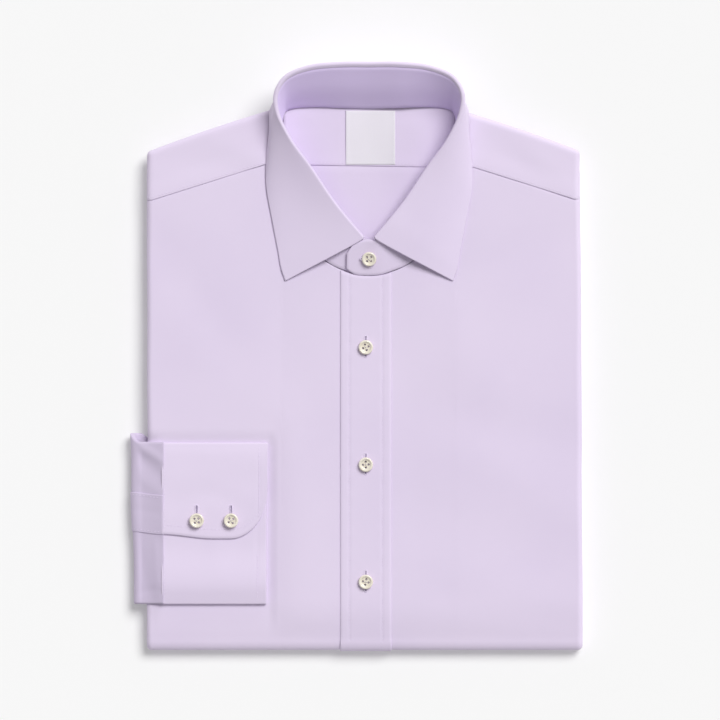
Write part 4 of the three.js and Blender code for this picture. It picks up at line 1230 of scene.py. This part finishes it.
def button_mesh():
    """A turned button, its rim and dish, about its own axis with its back at z = 0."""
    line = Curve([(r, 0, h) for r, h in BUTTON_PROFILE]).at(np.linspace(0, 1, 64))
    angles = 2 * math.pi * np.arange(BUTTON_SIDES) / BUTTON_SIDES
    r = np.maximum(line[:, :1], 0.002) * BUTTON_RADIUS
    points = stack(r * np.cos(angles), r * np.sin(angles), line[:, 2:] * BUTTON_HEIGHT)
    ids = np.arange(points.size // 3).reshape(points.shape[:2])
    return points.reshape(-1, 3), capped_rings(ids)


def drilled_button(name):
    points, faces = button_mesh()
    body = mesh_object(name, points, faces, BUTTON)
    for sx in (-1, 1):
        for sy in (-1, 1):
            radius = BUTTON_HOLE_RADIUS * MM
            bpy.ops.mesh.primitive_cylinder_add(vertices=20, radius=radius, depth=8 * MM)
            drill = bpy.context.object
            drill.location = (sx * BUTTON_HOLE_REACH * MM, sy * BUTTON_HOLE_REACH * MM, 0)
            cut = body.modifiers.new("hole", "BOOLEAN")
            cut.operation = "DIFFERENCE"
            cut.solver = "EXACT"
            cut.object = drill
            bpy.context.view_layer.update()
            depsgraph = bpy.context.evaluated_depsgraph_get()
            mesh = bpy.data.meshes.new_from_object(body.evaluated_get(depsgraph))
            body.modifiers.clear()
            body.data = mesh
            bpy.data.objects.remove(drill)
    body.data.shade_smooth()
    body.data.set_sharp_from_angle(angle=math.radians(40))
    return body


def tube_mesh(line, radius, sides, closed=False):
    """Points and faces of a round tube along a line, its ends capped unless it is closed."""
    ahead, behind = np.roll(line, -1, axis=0), np.roll(line, 1, axis=0)
    along = unit(ahead - behind if closed else np.gradient(line, axis=0))
    helper = np.where(np.abs(along[:, 2:3]) > 0.9, [[1.0, 0, 0]], [[0, 0, 1.0]])
    side = unit(np.cross(along, helper))
    up = np.cross(along, side)
    angles = 2 * math.pi * np.arange(sides)[:, None] / sides
    ring = side[:, None] * np.cos(angles) + up[:, None] * np.sin(angles)
    points = line[:, None] + ring * np.broadcast_to(radius, len(line))[:, None, None]
    ids = np.arange(len(line) * sides).reshape(-1, sides)
    faces = ring_quads(np.vstack([ids, ids[:1]])).tolist() if closed else capped_rings(ids)
    return points.reshape(-1, 3), faces


def joined(parts):
    points = []
    faces = []
    for some, quads in parts:
        base = len(points)
        points += [tuple(p) for p in some]
        faces += [[base + i for i in f] for f in quads]
    return points, faces


def thread_cross():
    """Thread of a sewn on button: bars from hole to hole, crossed, and a shank below."""
    parts = []
    top = 0.56 * BUTTON_HEIGHT
    for sign in (-1, 1):
        for shift in (-0.16, 0.16):
            t = np.linspace(-1, 1, 13)
            reach = BUTTON_HOLE_REACH
            x = t * reach + shift * sign * 0.7
            y = sign * t * reach + shift * 0.7
            z = top + 0.42 * (1 - t**4) - 1.0 * smooth(np.abs(t), 0.85, 1.0) + (0.2 if sign > 0 else 0)
            parts.append(tube_mesh(stack(x, y, z), 0.12, 6))
    z = np.linspace(-1.0, 0.2, 5)
    parts.append(tube_mesh(stack(0 * z, 0 * z, z), 1.3, 10))
    return joined(parts)


def buttons():
    """The six buttons, each where its node is, with its thread."""
    model = drilled_button("button_model")
    points, faces = thread_cross()
    back = BUTTON_HEIGHT / 2 * MM
    names = [n for n in sorted(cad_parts) if "button" in n]
    for k, name in enumerate(names):
        low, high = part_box(name)
        centre = (low + high) / 2
        tilt = math.atan(BAND_FRONT_SLOPE) if name == "collar_button" else 0.0
        piece = bpy.data.objects.new(name + "_turned", model.data.copy())
        thread = mesh_object(name + "_thread", points, faces, BUTTON_THREAD)
        bpy.context.scene.collection.objects.link(piece)
        for part in (piece, thread):
            part.rotation_euler = (tilt, 0, 0.35 + 1.3 * k if tilt == 0 else 0)
            y = centre.y + math.sin(tilt) * back
            part.location = (centre.x, y, centre.z - math.cos(tilt) * back)
        finished(piece, name, slot="button")
        finished(thread)
    bpy.data.objects.remove(model)


def buttonhole(name, centre, length, turn, tilt=0.0):
    """A worked buttonhole: a close zigzag of thread round a narrow slit, the slit a flat dark quad of
    painted shade.
    """
    half = BUTTONHOLE_HALF_WIDTH
    straight = length - 2.0
    arc = math.pi * half
    run = np.linspace(0, 2 * (straight + arc), BUTTONHOLE_POINTS, endpoint=False)
    leg = run % (straight + arc)
    angle = np.maximum(0, leg - straight) / half
    way = np.where(run < straight + arc, 1, -1)
    x = way * half * np.cos(angle)
    y = way * (np.minimum(leg, straight) - straight / 2 + half * np.sin(angle))
    ridge = 0.36 + 0.07 * np.cos(np.arange(BUTTONHOLE_POINTS) * math.pi)
    ring = tube_mesh(stack(x, y, 0.05), ridge, 7, closed=True)
    end = straight / 2 + 0.3
    # The slit: a flat dark quad just over the cloth, painted shade.
    slit = [(-0.24, -end, 0.16), (0.24, -end, 0.16), (0.24, end, 0.16), (-0.24, end, 0.16)]
    made = []
    parts = ((name, *ring, THREAD), (name + "_slit_shade", slit, [[0, 1, 2, 3]], SLIT_SHADE))
    for part_name, points, faces, material in parts:
        piece = mesh_object(part_name, points, faces, material)
        piece.rotation_euler = (tilt, 0, turn)
        piece.location = [value * MM for value in centre]
        made.append(finished(piece))
    return made


def cuff_buttonhole(k):
    x = CUFF_BUTTON_XS[k]
    y = CUFF_BUTTON_Y + 4.3
    z = float(front_height(x, y)) + CUFF_LEVELS[2] + CUFF_PLY / 2
    z += float(creases(CUFF_CREASES, stack(x, y, z)))
    return buttonhole(f"cuff_buttonhole_{k + 1}", (x, y, z), 14.0, 0.0)


def front_buttonhole(k):
    low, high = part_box(f"front_button_{k + 1}")
    y = (low.y + high.y) / 2 / MM + 0.5
    z = float(front_height(PLACKET_X, y)) + PLACKET_TOP
    return buttonhole(f"front_buttonhole_{k + 1}", (PLACKET_X, y, z), 16.0, 0.0)


def collar_buttonhole():
    rise = BAND_FRONT_SLOPE * (COLLAR_BUTTON_Y - BAND_SEAM_Y) + BAND_LIFT + COLLAR_PLY / 2
    place = (COLLAR_X + 1, COLLAR_BUTTON_Y, BAND_SEAM_Z + rise)
    return buttonhole("collar_buttonhole", place, 15.0, math.pi / 2, math.atan(BAND_FRONT_SLOPE))


# Scene

def studio():
    """Plain pale floor, a soft key light from beyond the right shoulder, and a pale surround."""
    bpy.ops.mesh.primitive_plane_add(size=14, location=(0, 0, 0))
    floor = bpy.context.object
    floor.name = "floor"
    glow = {"Specular IOR Level": 0.1, "Emission Color": (1, 1, 1, 1), "Emission Strength": FLOOR_GLOW}
    paper, _ = new_material("pale paper", FLOOR_TONE, 0.9, glow)
    floor.data.materials.append(paper)
    surround()
    key = bpy.data.lights.new("key", "SUN")
    key.angle = math.radians(KEY_SPREAD)
    key.energy = KEY_STRENGTH * math.pi
    lamp = bpy.data.objects.new("key", key)
    lamp.rotation_mode = "QUATERNION"
    lamp.rotation_quaternion = Vector(KEY_DIRECTION).to_track_quat("Z", "Y")
    bpy.context.scene.collection.objects.link(lamp)


def surround():
    """A pale horizon under a dimmer sky, so that the light is soft and comes mainly from the key."""
    world = bpy.data.worlds.new("surround")
    bpy.context.scene.world = world
    world.use_nodes = True
    nodes = world.node_tree.nodes
    link = world.node_tree.links.new
    coords = nodes.new("ShaderNodeTexCoord")
    split = nodes.new("ShaderNodeSeparateXYZ")
    ramp = nodes.new("ShaderNodeValToRGB")
    for element, place, tone in zip(ramp.color_ramp.elements, (0.12, 0.5), (HORIZON, SKY)):
        element.position = place
        element.color = (tone, tone, tone, 1)
    link(coords.outputs["Generated"], split.inputs[0])
    link(split.outputs["Z"], ramp.inputs["Fac"])
    link(ramp.outputs["Color"], nodes["Background"].inputs["Color"])


def camera():
    data = bpy.data.cameras.new("camera")
    data.lens = LENS
    data.sensor_width = SENSOR
    data.clip_start = 0.1
    data.clip_end = 60
    view = bpy.data.objects.new("camera", data)
    view.location = (FRAME_X * MM, FRAME_Y * MM, (FRAME_SIDE * LENS / SENSOR + STACK) * MM)
    bpy.context.scene.collection.objects.link(view)
    bpy.context.scene.camera = view
    settings = bpy.context.scene.view_settings
    settings.view_transform = "Standard"
    settings.look = "None"


def main():
    camera()
    studio()
    hidden_layers()
    for side in (-1, 1):
        front_panel(side)
        yoke_half(side)
    placket()
    inside_panels()
    collar_stand()
    collar_leaf()
    sleeve_end()
    sleeve_placket()
    cuff()
    label()
    buttons()


main()
